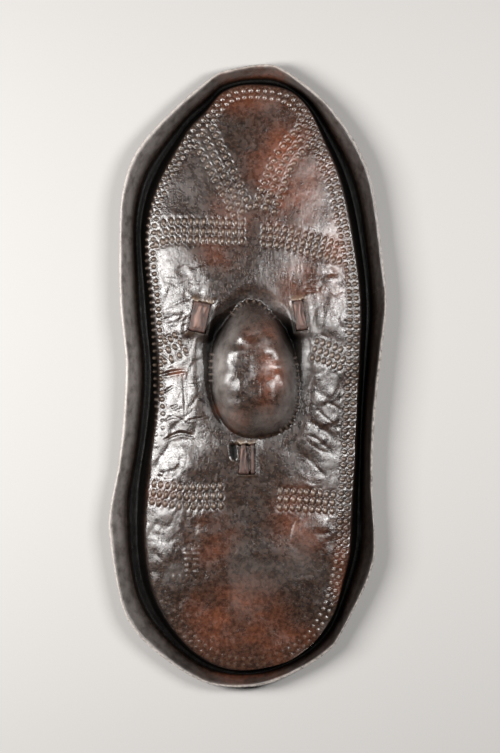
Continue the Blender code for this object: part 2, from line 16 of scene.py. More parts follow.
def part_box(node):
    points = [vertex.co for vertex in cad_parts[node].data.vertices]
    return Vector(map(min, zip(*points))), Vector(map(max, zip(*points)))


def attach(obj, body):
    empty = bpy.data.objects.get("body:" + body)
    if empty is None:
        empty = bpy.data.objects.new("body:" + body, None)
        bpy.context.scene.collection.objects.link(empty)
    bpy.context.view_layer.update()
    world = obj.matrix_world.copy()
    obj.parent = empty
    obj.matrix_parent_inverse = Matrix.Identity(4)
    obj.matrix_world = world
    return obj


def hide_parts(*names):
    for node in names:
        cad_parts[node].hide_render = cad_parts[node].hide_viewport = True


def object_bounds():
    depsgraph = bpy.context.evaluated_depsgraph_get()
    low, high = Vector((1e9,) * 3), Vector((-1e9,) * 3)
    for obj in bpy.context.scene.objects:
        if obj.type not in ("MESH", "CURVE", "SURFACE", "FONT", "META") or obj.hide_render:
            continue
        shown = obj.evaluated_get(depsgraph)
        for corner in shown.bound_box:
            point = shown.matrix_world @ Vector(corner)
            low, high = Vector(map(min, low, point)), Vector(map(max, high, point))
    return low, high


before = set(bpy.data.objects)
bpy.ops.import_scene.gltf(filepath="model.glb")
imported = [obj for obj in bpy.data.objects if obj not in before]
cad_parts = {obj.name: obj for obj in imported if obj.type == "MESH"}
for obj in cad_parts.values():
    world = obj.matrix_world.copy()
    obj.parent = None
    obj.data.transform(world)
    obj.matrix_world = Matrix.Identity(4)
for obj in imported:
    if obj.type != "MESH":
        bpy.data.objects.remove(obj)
CAD_BOX = [[float(v) for v in corner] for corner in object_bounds()]

MM = 0.001
FULL_TURN = 2 * math.pi

# The shield's outlines are drawn in millimetres, clockwise from the top, about the drawn centre
DRAWN_CENTRE_MM = (-0.9, -0.5)
DRAWN_WIDTH_MM = 445.6
DRAWN_LENGTH_MM = 1000.9
WIDTH = CAD_BOX[1][0] - CAD_BOX[0][0]
LENGTH = CAD_BOX[1][1] - CAD_BOX[0][1]

# Values given as a tuple of eight lie at even steps clockwise from the top, round the shield or the boss.
# A span is the place where a change begins, and the length over which it is made.

# The hide and its heights above the surface that the shield lies on
HIDE = 0.0045
FIELD_EDGE_HEIGHT = 0.040
FIELD_CROWN = 0.016
CROWN_POWER = 2.5
RIM_CURVE_POWER = 1.3
RIM_HEIGHTS = (0.040, 0.044, 0.050, 0.046, 0.034, 0.038, 0.046, 0.046)
# How far the field's shoulders have sunk, and from which share of the way to the field's edge
SHOULDER_DROPS = (0.001, 0.0, 0.006, 0.006, 0.001, 0.003, 0.006, 0.005)
SHOULDER_START = 0.55
WALL_SHARE = 0.36
FLAT_END_SHARE = 0.50

# The lip: how far its edge is rounded down, in shares of the hide's thickness, and its nicks
LIP_ROUNDING = 0.55
LIP_ROUNDING_POWER = 2.5
LIP_CALM = 0.6
NICK_DEPTH = 0.0011
BACK_LIP_INSET = 0.25
BACK_LIP_DROP = 0.9

# The hand boss and the moat round it
BOSS_HEIGHT = 0.046
BOSS_POWER = 4.6
BOSS_CENTRE_MM = (10, 11)
MOAT_DEPTH = 0.016
MOAT_WIDTH = 0.030
MOAT_SHARES = (0.25, 1.0, 0.45, 0.25, 0.10, 0.30, 0.50, 1.0)

# Rows of beads. A bead's half sizes lie across its row and along it
ROUND_BEAD = (0.0038, 0.0034)
OVAL_BEAD = (0.0052, 0.0032)
BEAD_HEIGHT = 0.0032
BEAD_ROUNDING = 0.85
VEE_PITCH = 0.0125
BAND_PITCH = 0.0105
BORDER_BEAD = (0.0037, 0.0030)
BORDER_ROWS = 2
BORDER_PITCH = 0.0112
BORDER_SPACING = (0.0108, 0.0108)
BORDER_INSETS = (0.012, 0.011, 0.011, 0.012, 0.012, 0.008, -0.004, 0.001)
BORDER_STRENGTHS = (0.40, 0.85, 0.85, 0.8, 0.15, 0.0, 0.85, 0.85)
# The nibs round the boss's foot, on this share of its outline, and whether there are any
NIB = (0.0036, 0.0023)
NIB_PITCH = 0.0105
NIB_RING = 0.985
NIB_PLACES = (1, 0, 1, 1, 0, 0, 1, 0)
# The faint motif at the lower left
MOTIF_CENTRE = (-0.098, -0.305)
MOTIF_REACH = 0.045
MOTIF_STRENGTH = 0.2
# How much the beads differ, and where none stands
BEAD_SEED = 11
BEAD_SHIFT = 0.00025
BEAD_SIZES = (0.88, 1.12)
BEAD_CROWD = 0.0062
BEAD_PAD_CLEARANCE = 0.004
LEAST_STRENGTH = 0.08
# The pit round a bead: its place and width count in the bead's half sizes
PIT_DEPTH = 0.0009
PIT_PLACE = 1.35
PIT_WIDTH = 0.4
PIT_LIMIT = 0.014

# The thongs and their slits
STRAP_THICKNESS = 0.0022
STRAP_SPAN = 0.046
STRAP_BEND = 0.0024
SLIT_PLAY = 0.0011
SEAT_GAP = 0.0004
PAD_MARGIN = 0.0025
PAD_FADE = 0.011
PADDLE_THICKNESS = 0.009
SLIT_RAG = 0.0005
# The frayed lips of the slits. Those at a strap's lower end are nearly worn away
LIP_RISE = 0.0036
LIP_LEAN = 0.0024
LIP_WIDTH = 0.0030
LIP_PALE_WIDTH = 0.0042
LIP_STEP = 0.0006
LIP_SIDE_LIMIT = 0.0005
LIP_SIDE_SQUEEZE = 1.6
LOWER_LIP_SHARE = 0.1
FRAY = 0.7
FRAY_LIMITS = (0.1, 1.3)

# A strap's relief: its crown above and below, its folds, and how wavy its edges and folds are
STRAP_CROWN = 0.0006
STRAP_UNDER_CROWN = 0.0008
STRAP_FOLD = 0.0014
STRAP_FOLD_SIZE = 0.0027
STRAP_FOLD_SQUEEZE = 0.13
STRAP_EDGE_WAVE = 0.0006
STRAP_EDGE_WAVE_SIZE = 0.006
STRAP_SWAY = 0.0012
STRAP_SWAY_TURNS = 150
STRAP_FLAT_SHARE = 0.3
# Where a strap's top begins in height, and where its relief begins in distance from its bends
STRAP_TOP = (-0.0012, 0.001)
STRAP_SHOWN = (0.0032, 0.004)

# How fine the meshes are
RIM_COLUMNS = 800
BACK_COLUMNS = 300
BEAD_LATTICE = 0.00172
FACE_LATTICE = 0.0026
BEAD_REACH = 0.0085
PAD_REACH = 0.006
BACK_LATTICE = 0.0075
SLIT_POINTS = 56
SLIT_CLEARANCE = 0.55
CHANNEL_WIDTH = 0.045
CURVE_SAMPLES = 1440
NORMAL_STEP = 0.0006
SAME_POINT = 1e-9
STRAP_STEPS = 120
STRAP_SIDES = 26
BEND_STEPS = 8
# Rings of points, as shares of the hide inside the lip's edge, and as shares of the way from the field's
# edge to the lip
LIP_RINGS = (0.0, 0.12, 0.5)
FACE_RINGS = (*np.linspace(1.0, 0.52, 11), *np.linspace(0.46, 0.0, 14))
BACK_RINGS = (0.93, 0.84, 0.74, 0.64, 0.5, 0.43, 0.36, 0.28, 0.2, 0.12, 0.04)
# The ball that finds the hide's back: shares of its reach, and places round each
BALL_SHARES = (0.35, 0.65, 0.85, 0.97)
BALL_PLACES = 12

# The noise that all lumps come from
NOISE_SHIFT = (17.3, -9.7)
NOISE_MIX = (127.1, 311.7, 74.7)
NOISE_SPREAD = 43758.5453

# Layers of lumps: height, size, seed
SWELLS = ((0.0022, 0.085, 1), (0.0016, 0.038, 2))
DIMPLES = ((0.00060, 0.015, 3), (0.00018, 0.0065, 4))
BOSS_DENTS = ((0.0021, 0.028, 45), (0.0009, 0.012, 46))
RIM_DENTS = ((0.0011, 0.045, 10), (0.0004, 0.012, 12))
NICKS = ((1.0, 0.02, 14), (0.6, 0.007, 15))
HOLLOW_RAG = ((0.12, 0.004, 47),)
FRAY_LUMPS = ((0.75, 0.0034, 31),)
SLIT_LUMPS = ((0.5, 0.0022, 33),)
DUST_LUMPS = ((1.0, 0.05, 41),)

# Spans of the way out from the field's edge to the lip, in shares of it
FIELD_END = (0.05, 0.3)
RIM_START = (0.55, 0.2)
# Spans in metres where the hide is worked. A side's start counts outward from the middle, and its top end,
# its calm foot and the shield's foot count downward
TOP_CALM = (0.19, 0.05)
TOP_CALM_SHARE = 0.6
LEFT_START = (0.02, 0.08)
LEFT_TOP_END = (-0.20, 0.03)
LEFT_FOOT_CALM = (0.2, 0.05)
LEFT_FOOT_CALM_SHARE = 0.5
RIGHT_START = (0.06, 0.06)
RIGHT_TOP_END = (-0.19, 0.03)
FOOT_START = (0.12, 0.1)
STRAP_CLEAR = (0.001, 0.006)
BOSS_TOP_END = (0.050, 0.014)
BOSS_TOP_SQUEEZE = 0.65
# How strongly it is worked: everywhere, towards the foot and at the sides, and how calm it is near beads
WORK_SHARES = (0.25, 0.25, 0.75)
BEAD_CALM = 0.85

# Wrinkles on the left and right: the way they run in degrees, and seed
LEFT_WRINKLES = ((28, 5), (62, 6))
RIGHT_WRINKLES = ((-35, 7), (15, 8))
WRINKLE_DEPTH = 0.0011
WRINKLE_SIZE = 0.012
WRINKLE_STRETCH = 3.2
WRINKLE_PATCH_SIZE = 0.05
WRINKLE_PATCH = (-0.15, 0.5)
VALLEY_POWER = 5
# Faint furrows all over: depth, size, the way they run in degrees, stretch and seed
FURROW = (0.0005, 0.014, 80, 2.0, 9)

RIM_DRAWN_MM = (
    (22, 500), (59, 491), (123, 441), (171, 377), (198, 313), (213, 217), (222, 118), (213, 25),
    (202, -87), (200, -190), (204, -276), (197, -314), (181, -354), (150, -414), (133, -439), (91, -469),
    (22, -498), (-53, -498), (-104, -476), (-154, -439), (-184, -407), (-205, -362), (-222, -263),
    (-222, -215), (-206, -127), (-196, 9), (-205, 113), (-206, 217), (-201, 296), (-178, 361),
    (-123, 424), (-64, 475), (-36, 490),
)
FIELD_DRAWN_MM = (
    (22, 465), (59, 459), (83, 444), (102, 419), (123, 372), (149, 305), (170, 201), (179, 120),
    (177, 0), (173, -119), (166, -207), (162, -279), (142, -367), (123, -407), (96, -439), (59, -460),
    (11, -471), (-37, -467), (-77, -448), (-112, -415), (-141, -367), (-158, -311), (-164, -240),
    (-155, -143), (-141, -15), (-149, 105), (-160, 217), (-144, 300), (-99, 387), (-67, 422),
    (-42, 452), (-13, 464),
)
BOSS_DRAWN_MM = (
    (4, 121), (23, 115), (36, 101), (58, 76), (70, 52), (78, 17), (81, -20), (80, -47), (70, -76),
    (51, -91), (25, -98), (3, -99), (-16, -94), (-33, -82), (-47, -62), (-57, -30), (-60, 9), (-59, 38),
    (-53, 61), (-42, 79), (-29, 96), (-14, 114),
)

# Bands of bead rows: middle line in millimetres, rows, spacing of the rows at each end, pitch, and the
# beads' half lengths across and along the rows
BANDS = (
    (((-76, 394), (-58, 360), (-34, 312), (-6, 258)), 3, (0.0180, 0.0140), VEE_PITCH, ROUND_BEAD),
    (((97, 392), (59, 345), (37, 292), (26, 262)), 3, (0.0148, 0.0155), VEE_PITCH, ROUND_BEAD),
    (((-157, 223), (-117, 232), (-4, 229)), 3, (0.0145, 0.0145), BAND_PITCH, OVAL_BEAD),
    (((20, 223), (48, 222), (69, 218), (126, 203), (156, 195)), 3, (0.0125, 0.0130), BAND_PITCH, OVAL_BEAD),
    (((-158, -187), (-101, -193), (-38, -192)), 3, (0.0150, 0.0150), BAND_PITCH, OVAL_BEAD),
    (((46, -197), (99, -200), (162, -206)), 3, (0.0128, 0.0128), BAND_PITCH, OVAL_BEAD),
    (((-145, 36), (-120, 45), (-104, 56)), 3, (0.0150, 0.0150), BAND_PITCH, OVAL_BEAD),
    (((102, 44), (128, 36), (157, 24)), 3, (0.0135, 0.0135), BAND_PITCH, OVAL_BEAD),
    (((-90, -280), (-90, -318)), 2, (0.0140, 0.0140), BAND_PITCH, OVAL_BEAD),
    (((-124, -322), (-92, -322)), 1, (0.0140, 0.0140), BAND_PITCH, OVAL_BEAD),
)

# Creases: line in millimetres, depth, half width
CREASES = (
    (((-139, 89), (-131, 91), (-123, 94)), 0.0016, 0.0022),
    (((-135, 80), (-127, 83), (-118, 87)), 0.0013, 0.0020),
    (((-142, 1), (-122, 6), (-101, 9)), 0.0032, 0.0042),
    (((-104, 1), (-102, -33), (-101, -66)), 0.0016, 0.0024),
    (((-96, 0), (-97, -30), (-96, -58)), 0.0009, 0.0018),
    (((-128, -52), (-111, -47)), 0.0016, 0.0022),
    (((-126, -60), (-106, -52)), 0.0014, 0.0020),
    (((-101, -16), (-86, -13), (-74, -6)), 0.0010, 0.0020),
    (((-139, -29), (-119, -16)), 0.0018, 0.0030),
    (((-95, -71), (-66, -66)), 0.0014, 0.0030),
    (((-130, -143), (-121, -127)), 0.0018, 0.0018),
    (((-140, -75), (-118, -66), (-100, -76)), 0.0012, 0.0030),
    (((-135, -102), (-110, -92), (-88, -96)), 0.0016, 0.0045),
    (((91, 147), (100, 151), (112, 153)), 0.0012, 0.0018),
    (((91, 141), (104, 142), (118, 141)), 0.0014, 0.0018),
    (((94, 135), (106, 135), (120, 139)), 0.0013, 0.0018),
    (((157, 177), (158, 155), (160, 137)), 0.0012, 0.0018),
    (((150, 88), (163, 88)), 0.0014, 0.0020),
    (((79, -413), (84, -437)), 0.0014, 0.0024),
    (((66, -262), (69, -245), (76, -228)), 0.0011, 0.0030),
)
CREASE_STEPS = 8
# Where a crease's ends begin to narrow, in shares of its length, and the raised shoulders beside it
CREASE_ENDS = (0.06, 0.94)
LEAST_WIDTH = 1e-6
SHOULDER_WIDTH = 2.4
SHOULDER_LIFT = 0.35

# The hollow on the left of the lower thong, painted dark as shade
HOLLOW_CENTRE_MM = (-23, -121)
HOLLOW_HALF_WIDTH = 0.0065
HOLLOW_HALF_LENGTH = 0.0145
HOLLOW_DEPTH = 0.0032
HOLLOW_LEAN = 0.12
HOLLOW_EDGE = (0.75, 0.3)

# Thongs: name, centre in millimetres, lean of the strap in degrees, width
THONGS = (
    ("thong_upper_left", (-77, 94), -11.0, 0.028),
    ("thong_upper_right", (83, 97), 8.0, 0.017),
    ("thong_lower", (-2, -133), 0.0, 0.026),
)

# The strips of each thong: name, thong, seed, and the side edges at the top and at the bottom, from the
# thong's middle line
STRIPS = (
    ("thong_upper_left_strip", 0, 51, (-0.0138, 0.0132), (-0.0140, 0.0124)),
    ("thong_upper_right_strip", 1, 58, (-0.0074, 0.0068), (-0.0084, 0.0084)),
    ("thong_lower_left_strand", 2, 65, (-0.0090, -0.0020), (-0.0128, 0.0036)),
    ("thong_lower_right_strand", 2, 72, (0.0062, 0.0118), (0.0068, 0.0124)),
)

# Painted shade in the moat, the channel and on the rim, dust and painted light on the rim's slope, and how
# grey painted light makes the boss's flanks
MOAT_PAINTED_SHADE = (0.4, 1.1, 0.65, 0.35, 0.3, 0.7, 0.8, 1.1)
MOAT_PAINTED_SHADE_PLACE = 0.004
MOAT_PAINTED_SHADE_WIDTHS = (0.006, 0.012)
# The rim is painted dark as shade, most on the right
RIM_PAINTED_SHADE = (0.1, 0.7, 1.0, 1.0, 0.7, 0.1, 0.1, 0.1)
RIM_PAINTED_SHADE_SHARE = 0.8
RIM_PAINTED_SHADE_START = (0.2, 0.2)
# The channel between the field and the rim is painted dark as shade
CHANNEL_PAINTED_SHADE_START = (-0.05, 0.2)
CHANNEL_PAINTED_SHADE_END = (0.52, 0.22)
PAINTED_SHADE_LIMIT = 0.6
# Dust on the rim's slope, with painted light making it paler on the left
RIM_DUST_AND_PAINTED_LIGHT = (0.35, 0.2, 0.05, 0.1, 0.2, 0.75, 1.0, 0.95)
RIM_DUST_AND_PAINTED_LIGHT_START = (0.6, 0.25)
LIP_DUST = 0.3
LIP_DUST_START = (0.9, 0.1)
FIELD_DUST = 0.10
FIELD_DUST_START = (0.1, 0.6)
# Painted light on the boss's flanks, most on the left
FLANK_PAINTED_LIGHT = (0.05, 0.05, 0.25, 0.35, 0.1, 0.35, 0.8, 0.5)
FLANK_START = (0.5, 0.3)
FLANK_END = (0.93, 0.05)
EDGE_FADE = 0.7
PALE_SHARE = 0.8

# Reddish worn places: centre in millimetres, radii along X and Y, strength
RED_PATCHES = (
    ((70, 330), 90, 150, 0.75), ((-20, 255), 60, 60, 0.35), ((95, 150), 80, 70, 0.45),
    ((36, 15), 38, 100, 0.95), ((-18, -68), 26, 30, 0.8), ((10, 50), 30, 40, 0.55),
    ((-20, -390), 110, 90, 0.60), ((90, -230), 70, 80, 0.50), ((-60, -260), 60, 60, 0.40),
    ((-135, -185), 40, 30, 0.45), ((60, -430), 80, 50, 0.45), ((-40, 200), 60, 40, 0.35),
    ((140, 190), 30, 120, 0.6), ((20, 440), 120, 40, 0.4), ((150, -300), 25, 90, 0.55),
    ((-110, 5), 20, 14, 0.8), ((-44, -52), 16, 16, 0.9), ((20, 490), 160, 22, 0.8), ((0, -490), 170, 26, 0.7),
)
RED_REACH = 1.1

# Colours
PATINA = ((0.008, 0.005, 0.004), (0.036, 0.019, 0.012))
RUST = (0.17, 0.046, 0.018)
WORN_BEAD = (0.19, 0.14, 0.108)
# Pale grey for dust, and for painted light on the rim's left side and the boss's flanks
DUST_AND_PAINTED_LIGHT = (0.25, 0.225, 0.21)
# Near black for painted shade in the channel, the moat, on the rim and in the hollow
PAINTED_SHADE = (0.0015, 0.0012, 0.001)
# The lip's edge: paler as a cut edge, and a painted highlight along it
CUT_EDGE_AND_HIGHLIGHT = (0.44, 0.40, 0.365)
FRAYED = (0.23, 0.165, 0.115)
FLESH_SIDE = ((0.075, 0.043, 0.028), (0.15, 0.095, 0.062))
FLESH_STAIN = (0.045, 0.028, 0.02)
STRIP = ((0.014, 0.008, 0.007), (0.075, 0.036, 0.027))
STRIP_FOLD = (0.21, 0.125, 0.10)
WOOD = ((0.05, 0.026, 0.014), (0.17, 0.092, 0.048))
WOOD_PORES = (0.02, 0.011, 0.007)
FLOOR = (0.36, 0.352, 0.343)

# The photograph's frame: 753 points high, of 1.6 mm each, and where its middle lies on the shield
POINT_SIZE = 0.0016
FRAME_HEIGHT = 753 * POINT_SIZE
FRAME_CENTRE = (0.0041, -0.0007)
CAMERA_HEIGHT = 3.0
LIP_HEIGHT = 0.045
SENSOR = 36.0

# Soft boxes: name, place, width and length, power in watts, colour
LIGHTS = (
    ("light_left", (-1.45, 0.15, 1.65), (0.5, 1.4), 92, (1.0, 0.985, 0.97)),
    ("light_right", (1.12, 0.30, 1.85), (0.38, 1.0), 50, (1.0, 0.99, 0.98)),
)
WORLD_LIGHT = 0.03
FLOOR_REACH = 4.0
FLOOR_ROUGHNESS = 0.9


def drawn(points, along_x, along_y, centre):
    """Points drawn in millimetres, moved to the centre and stretched, in metres."""
    shifted = np.array(points, float) - np.array(centre, float)
    return shifted * MM * np.array((along_x, along_y))


def on_shield(points):
    """Points drawn on the whole shield, in metres."""
    return drawn(points, WIDTH / (DRAWN_WIDTH_MM * MM), LENGTH / (DRAWN_LENGTH_MM * MM), DRAWN_CENTRE_MM)


def even_steps(line, count, closed):
    """The polyline sampled at even distances. A closed line doesn't repeat its first point."""
    if closed:
        line = np.vstack([line, line[:1]])
    run = np.concatenate([[0], np.cumsum(np.linalg.norm(np.diff(line, axis=0), axis=1))])
    wanted = np.linspace(0, run[-1], count + 1 if closed else count)
    if closed:
        wanted = wanted[:-1]
    return np.stack([np.interp(wanted, run, line[:, k]) for k in (0, 1)], axis=1)


def smooth_line(points, closed, steps=40):
    """A Catmull-Rom curve through the points, as a fine polyline."""
    points = np.array(points, float)
    if closed:
        around_points = np.vstack([points[-1:], points, points[:2]])
    else:
        first = 2 * points[0] - points[1]
        last = 2 * points[-1] - points[-2]
        around_points = np.vstack([first, points, last])
    t = np.linspace(0, 1, steps, endpoint=False)[:, None]
    spans = []
    for a, b, c, d in zip(around_points, around_points[1:], around_points[2:], around_points[3:]):
        cubic = 3 * b - a - 3 * c + d
        spans.append(0.5 * (2 * b + (c - a) * t + (2 * a - 5 * b + 4 * c - d) * t**2 + cubic * t**3))
    if not closed:
        spans.append(points[-1:])
    return np.vstack(spans)


def offset_line(line, inward, closed):
    """The line moved sideways: inward for a closed line that runs clockwise, else to its right."""
    tangent = np.roll(line, -1, axis=0) - np.roll(line, 1, axis=0) if closed else np.gradient(line, axis=0)
    tangent /= np.linalg.norm(tangent, axis=1)[:, None]
    side = np.stack([tangent[:, 1], -tangent[:, 0]], axis=1)
    return line + side * inward


def radius_of(outline):
    """The outline's distance from its own centre, as a function of the angle."""
    angle = np.arctan2(outline[:, 1], outline[:, 0])
    order = np.argsort(angle)
    angle = angle[order]
    reach = np.hypot(outline[:, 0], outline[:, 1])[order]
    return lambda a: np.interp(a, angle, reach, period=FULL_TURN)


def rise(t):
    """0 before t = 0, 1 after t = 1, and smooth between."""
    t = np.clip(t, 0, 1)
    return t * t * (3 - 2 * t)


def after(value, span):
    """0 before a span, 1 after it, and smooth between."""
    start, length = span
    return rise((value - start) / length)


def around(values, angle):
    """Values given at even steps clockwise from the top, read smoothly at any angle."""
    place = (0.25 - angle / FULL_TURN) % 1.0 * len(values)
    low = np.floor(place).astype(int) % len(values)
    share = rise(place - np.floor(place))
    table = np.array(values)
    return table[low] * (1 - share) + table[(low + 1) % len(values)] * share


RIM_LINE = even_steps(smooth_line(on_shield(RIM_DRAWN_MM), True), CURVE_SAMPLES, True)
FIELD_LINE = even_steps(smooth_line(on_shield(FIELD_DRAWN_MM), True), CURVE_SAMPLES, True)
BOSS_CENTRE = on_shield([BOSS_CENTRE_MM])[0]
BOSS_LINE = even_steps(smooth_line(drawn(BOSS_DRAWN_MM, 1, 1, BOSS_CENTRE_MM), True), CURVE_SAMPLES, True)
rim_radius = radius_of(RIM_LINE)
field_radius = radius_of(FIELD_LINE)
boss_radius = radius_of(BOSS_LINE)


def way_out(x, y):
    """How far a place lies from the field's edge, where 0 is, to the lip, where 1 is."""
    angle = np.arctan2(y, x)
    edge = field_radius(angle)
    return (np.hypot(x, y) - edge) / (rim_radius(angle) - HIDE - edge)


def moulded_height(x, y):
    """Height of the hide's face without beads or thong pads."""
    angle = np.arctan2(y, x)
    reach = np.hypot(x, y)
    edge = field_radius(angle)
    gap = rim_radius(angle) - HIDE - edge
    out = (reach - edge) / gap
    share = np.minimum(reach / edge, 1)
    drop = around(SHOULDER_DROPS, angle)
    field = FIELD_EDGE_HEIGHT + FIELD_CROWN * (1 - share**CROWN_POWER)
    field = field - drop * np.clip((share - SHOULDER_START) / (1 - SHOULDER_START), 0, 1) ** 2
    u = np.clip(out / WALL_SHARE, 0, 1)
    fall = 2 * u**3 - 3 * u**2 + 1
    edge_slope = FIELD_CROWN * CROWN_POWER / edge
    wall = FIELD_EDGE_HEIGHT * fall + HIDE * (3 * u**2 - 2 * u**3)
    wall = wall - edge_slope * WALL_SHARE * gap * (u**3 - 2 * u**2 + u) - drop * fall
    climb = np.clip((out - FLAT_END_SHARE) / (1 - FLAT_END_SHARE), 0, 1)
    rim = (around(RIM_HEIGHTS, angle) - HIDE) * climb**RIM_CURVE_POWER
    height = np.where(out < 0, field, wall + rim)
    return height + boss_rise(x, y)


def from_boss(x, y):
    """The angle and the distance of a place as seen from the boss's centre."""
    dx, dy = x - BOSS_CENTRE[0], y - BOSS_CENTRE[1]
    return np.arctan2(dy, dx), np.hypot(dx, dy)


def boss_rise(x, y):
    """What the boss and the moat round it add to the field's height."""
    angle, reach = from_boss(x, y)
    edge = boss_radius(angle)
    moat = MOAT_DEPTH * around(MOAT_SHARES, angle)
    dome = (BOSS_HEIGHT + moat) * (1 - np.minimum(reach / edge, 1) ** BOSS_POWER) - moat
    outside = -moat * (1 - rise((reach - edge) / MOAT_WIDTH))
    return np.where(reach < edge, dome, outside)


def past_box(along, across, half_along, half_across):
    """How far a place lies past the ends and past the sides of a box about the middle."""
    return np.maximum(np.abs(along) - half_along, 0), np.maximum(np.abs(across) - half_across, 0)


class Pad:
    """The flat place that a thong lies on, with its own axes along and across the strap."""

    def __init__(self, name, centre_mm, lean, width):
        self.name = name
        self.width = width
        self.centre = on_shield([centre_mm])[0]
        lean = math.radians(lean)
        self.along = np.array((-math.sin(lean), math.cos(lean)))
        self.across = np.array((math.cos(lean), math.sin(lean)))
        self.half_along = STRAP_SPAN / 2 + STRAP_THICKNESS / 2 + SLIT_PLAY + PAD_MARGIN
        self.half_across = width / 2 + SLIT_PLAY + PAD_MARGIN
        self.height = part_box(name)[1][2] - STRAP_THICKNESS - SEAT_GAP

    def place(self, along, across):
        """The point of the shield this far along and across the strap."""
        return self.centre + self.along * along + self.across * across

    def local(self, x, y):
        """A place of the shield as its distance along and across the strap."""
        dx, dy = x - self.centre[0], y - self.centre[1]
        return dx * self.along[0] + dy * self.along[1], dx * self.across[0] + dy * self.across[1]

    def distance(self, x, y):
        """How far a point lies outside the pad."""
        return np.hypot(*past_box(*self.local(x, y), self.half_along, self.half_across))

    def slits(self):
        """The two slits: where each lies along the strap, and its half sizes along and across it."""
        half = STRAP_THICKNESS / 2 + SLIT_PLAY
        reach = self.width / 2 + SLIT_PLAY
        return [(end * STRAP_SPAN / 2, half, reach) for end in (1, -1)]


PADS = [Pad(*thong) for thong in THONGS]


def face_height(x, y):
    """Height of the hide's face without beads and dents."""
    x, y = np.asarray(x, float), np.asarray(y, float)
    height = moulded_height(x, y)
    for pad in PADS:
        share = 1 - rise(pad.distance(x, y) / PAD_FADE)
        height = height * (1 - share) + pad.height * share
    return height


def face_normal(x, y):
    """The face's normal at a place."""
    step = NORMAL_STEP
    along_x = (face_height(x + step, y) - face_height(x - step, y)) / (2 * step)
    along_y = (face_height(x, y + step) - face_height(x, y - step)) / (2 * step)
    normal = np.stack([-along_x, -along_y, np.ones_like(along_x)], axis=1)
    return normal / np.linalg.norm(normal, axis=1)[:, None]


def underside_height(x, y):
    """Height of the hide's back: the lowest that a ball of the hide's thickness reaches below the face."""
    lowest = face_height(x, y) - HIDE
    for share in BALL_SHARES:
        drop = HIDE * math.sqrt(1 - share**2)
        for turn in np.arange(0, FULL_TURN, FULL_TURN / BALL_PLACES):
            near = face_height(x + share * HIDE * math.cos(turn), y + share * HIDE * math.sin(turn))
            lowest = np.minimum(lowest, near - drop)
    return np.maximum(lowest, 0)


def lumps(x, y, size, seed):
    """Smooth noise between -1 and 1 with lumps of this size."""
    u, v = x / size + NOISE_SHIFT[0] * seed, y / size + NOISE_SHIFT[1] * seed
    low_u, low_v = np.floor(u), np.floor(v)
    fade_u, fade_v = rise(u - low_u), rise(v - low_v)

    def corner(a, b):
        value = np.sin(a * NOISE_MIX[0] + b * NOISE_MIX[1] + seed * NOISE_MIX[2])
        value = np.abs(value * NOISE_SPREAD)
        return (value - np.floor(value)) * 2 - 1

    low = corner(low_u, low_v) * (1 - fade_u) + corner(low_u + 1, low_v) * fade_u
    high = corner(low_u, low_v + 1) * (1 - fade_u) + corner(low_u + 1, low_v + 1) * fade_u
    return low * (1 - fade_v) + high * fade_v


def layered(x, y, layers):
    """Layers of lumps on top of each other."""
    return sum(height * lumps(x, y, size, seed) for height, size, seed in layers)


def valleys(x, y, size, degrees, stretch, seed):
    """1 in narrow valleys that run long in one direction, and 0 between them."""
    angle = math.radians(degrees)
    along = x * math.cos(angle) + y * math.sin(angle)
    across = y * math.cos(angle) - x * math.sin(angle)
    return (1 - np.abs(lumps(along / stretch, across, size, seed))) ** VALLEY_POWER


def near_line(x, y, line, half_width):
    """How close each place lies to a line: 1 on it, 0 from half_width away, narrower to the line's ends."""
    line = smooth_line(on_shield(line), False, CREASE_STEPS)
    best = np.zeros_like(x)
    count = len(line) - 1
    for k in range(count):
        start, step = line[k], line[k + 1] - line[k]
        share = ((x - start[0]) * step[0] + (y - start[1]) * step[1]) / (step @ step)
        share = np.clip(share, 0, 1)
        away = np.hypot(x - start[0] - share * step[0], y - start[1] - share * step[1])
        taper = np.sin(math.pi * np.clip((k + share) / count, *CREASE_ENDS)) ** 0.5
        best = np.maximum(best, 1 - rise(away / (half_width * taper + LEAST_WIDTH)))
    return best


def bead_rows(middle, rows, spacing, pitch, closed):
    """Bead centres and the direction along the row, for rows side by side along a middle line."""
    length = np.linalg.norm(np.diff(middle, axis=0), axis=1).sum()
    count = max(2, round(length / pitch))
    fine = even_steps(middle, 2 * count + (0 if closed else 1), closed)
    width = np.linspace(spacing[0], spacing[1], len(fine))[:, None]
    side = offset_line(fine, 1.0, closed) - fine
    beads = []
    for row in range(rows):
        shifted = fine + side * width * (row - (rows - 1) / 2)
        for k in range(1, len(fine), 2):
            beads.append((*shifted[k], *side[k]))
    return beads


def strength(x, y, on_border):
    """How far a bead stands out: the border is worn low in places, and the motif all over."""
    if on_border:
        return float(around(BORDER_STRENGTHS, np.arctan2(y, x)))
    in_motif = math.hypot(x - MOTIF_CENTRE[0], y - MOTIF_CENTRE[1]) < MOTIF_REACH
    return MOTIF_STRENGTH if in_motif else 1.0


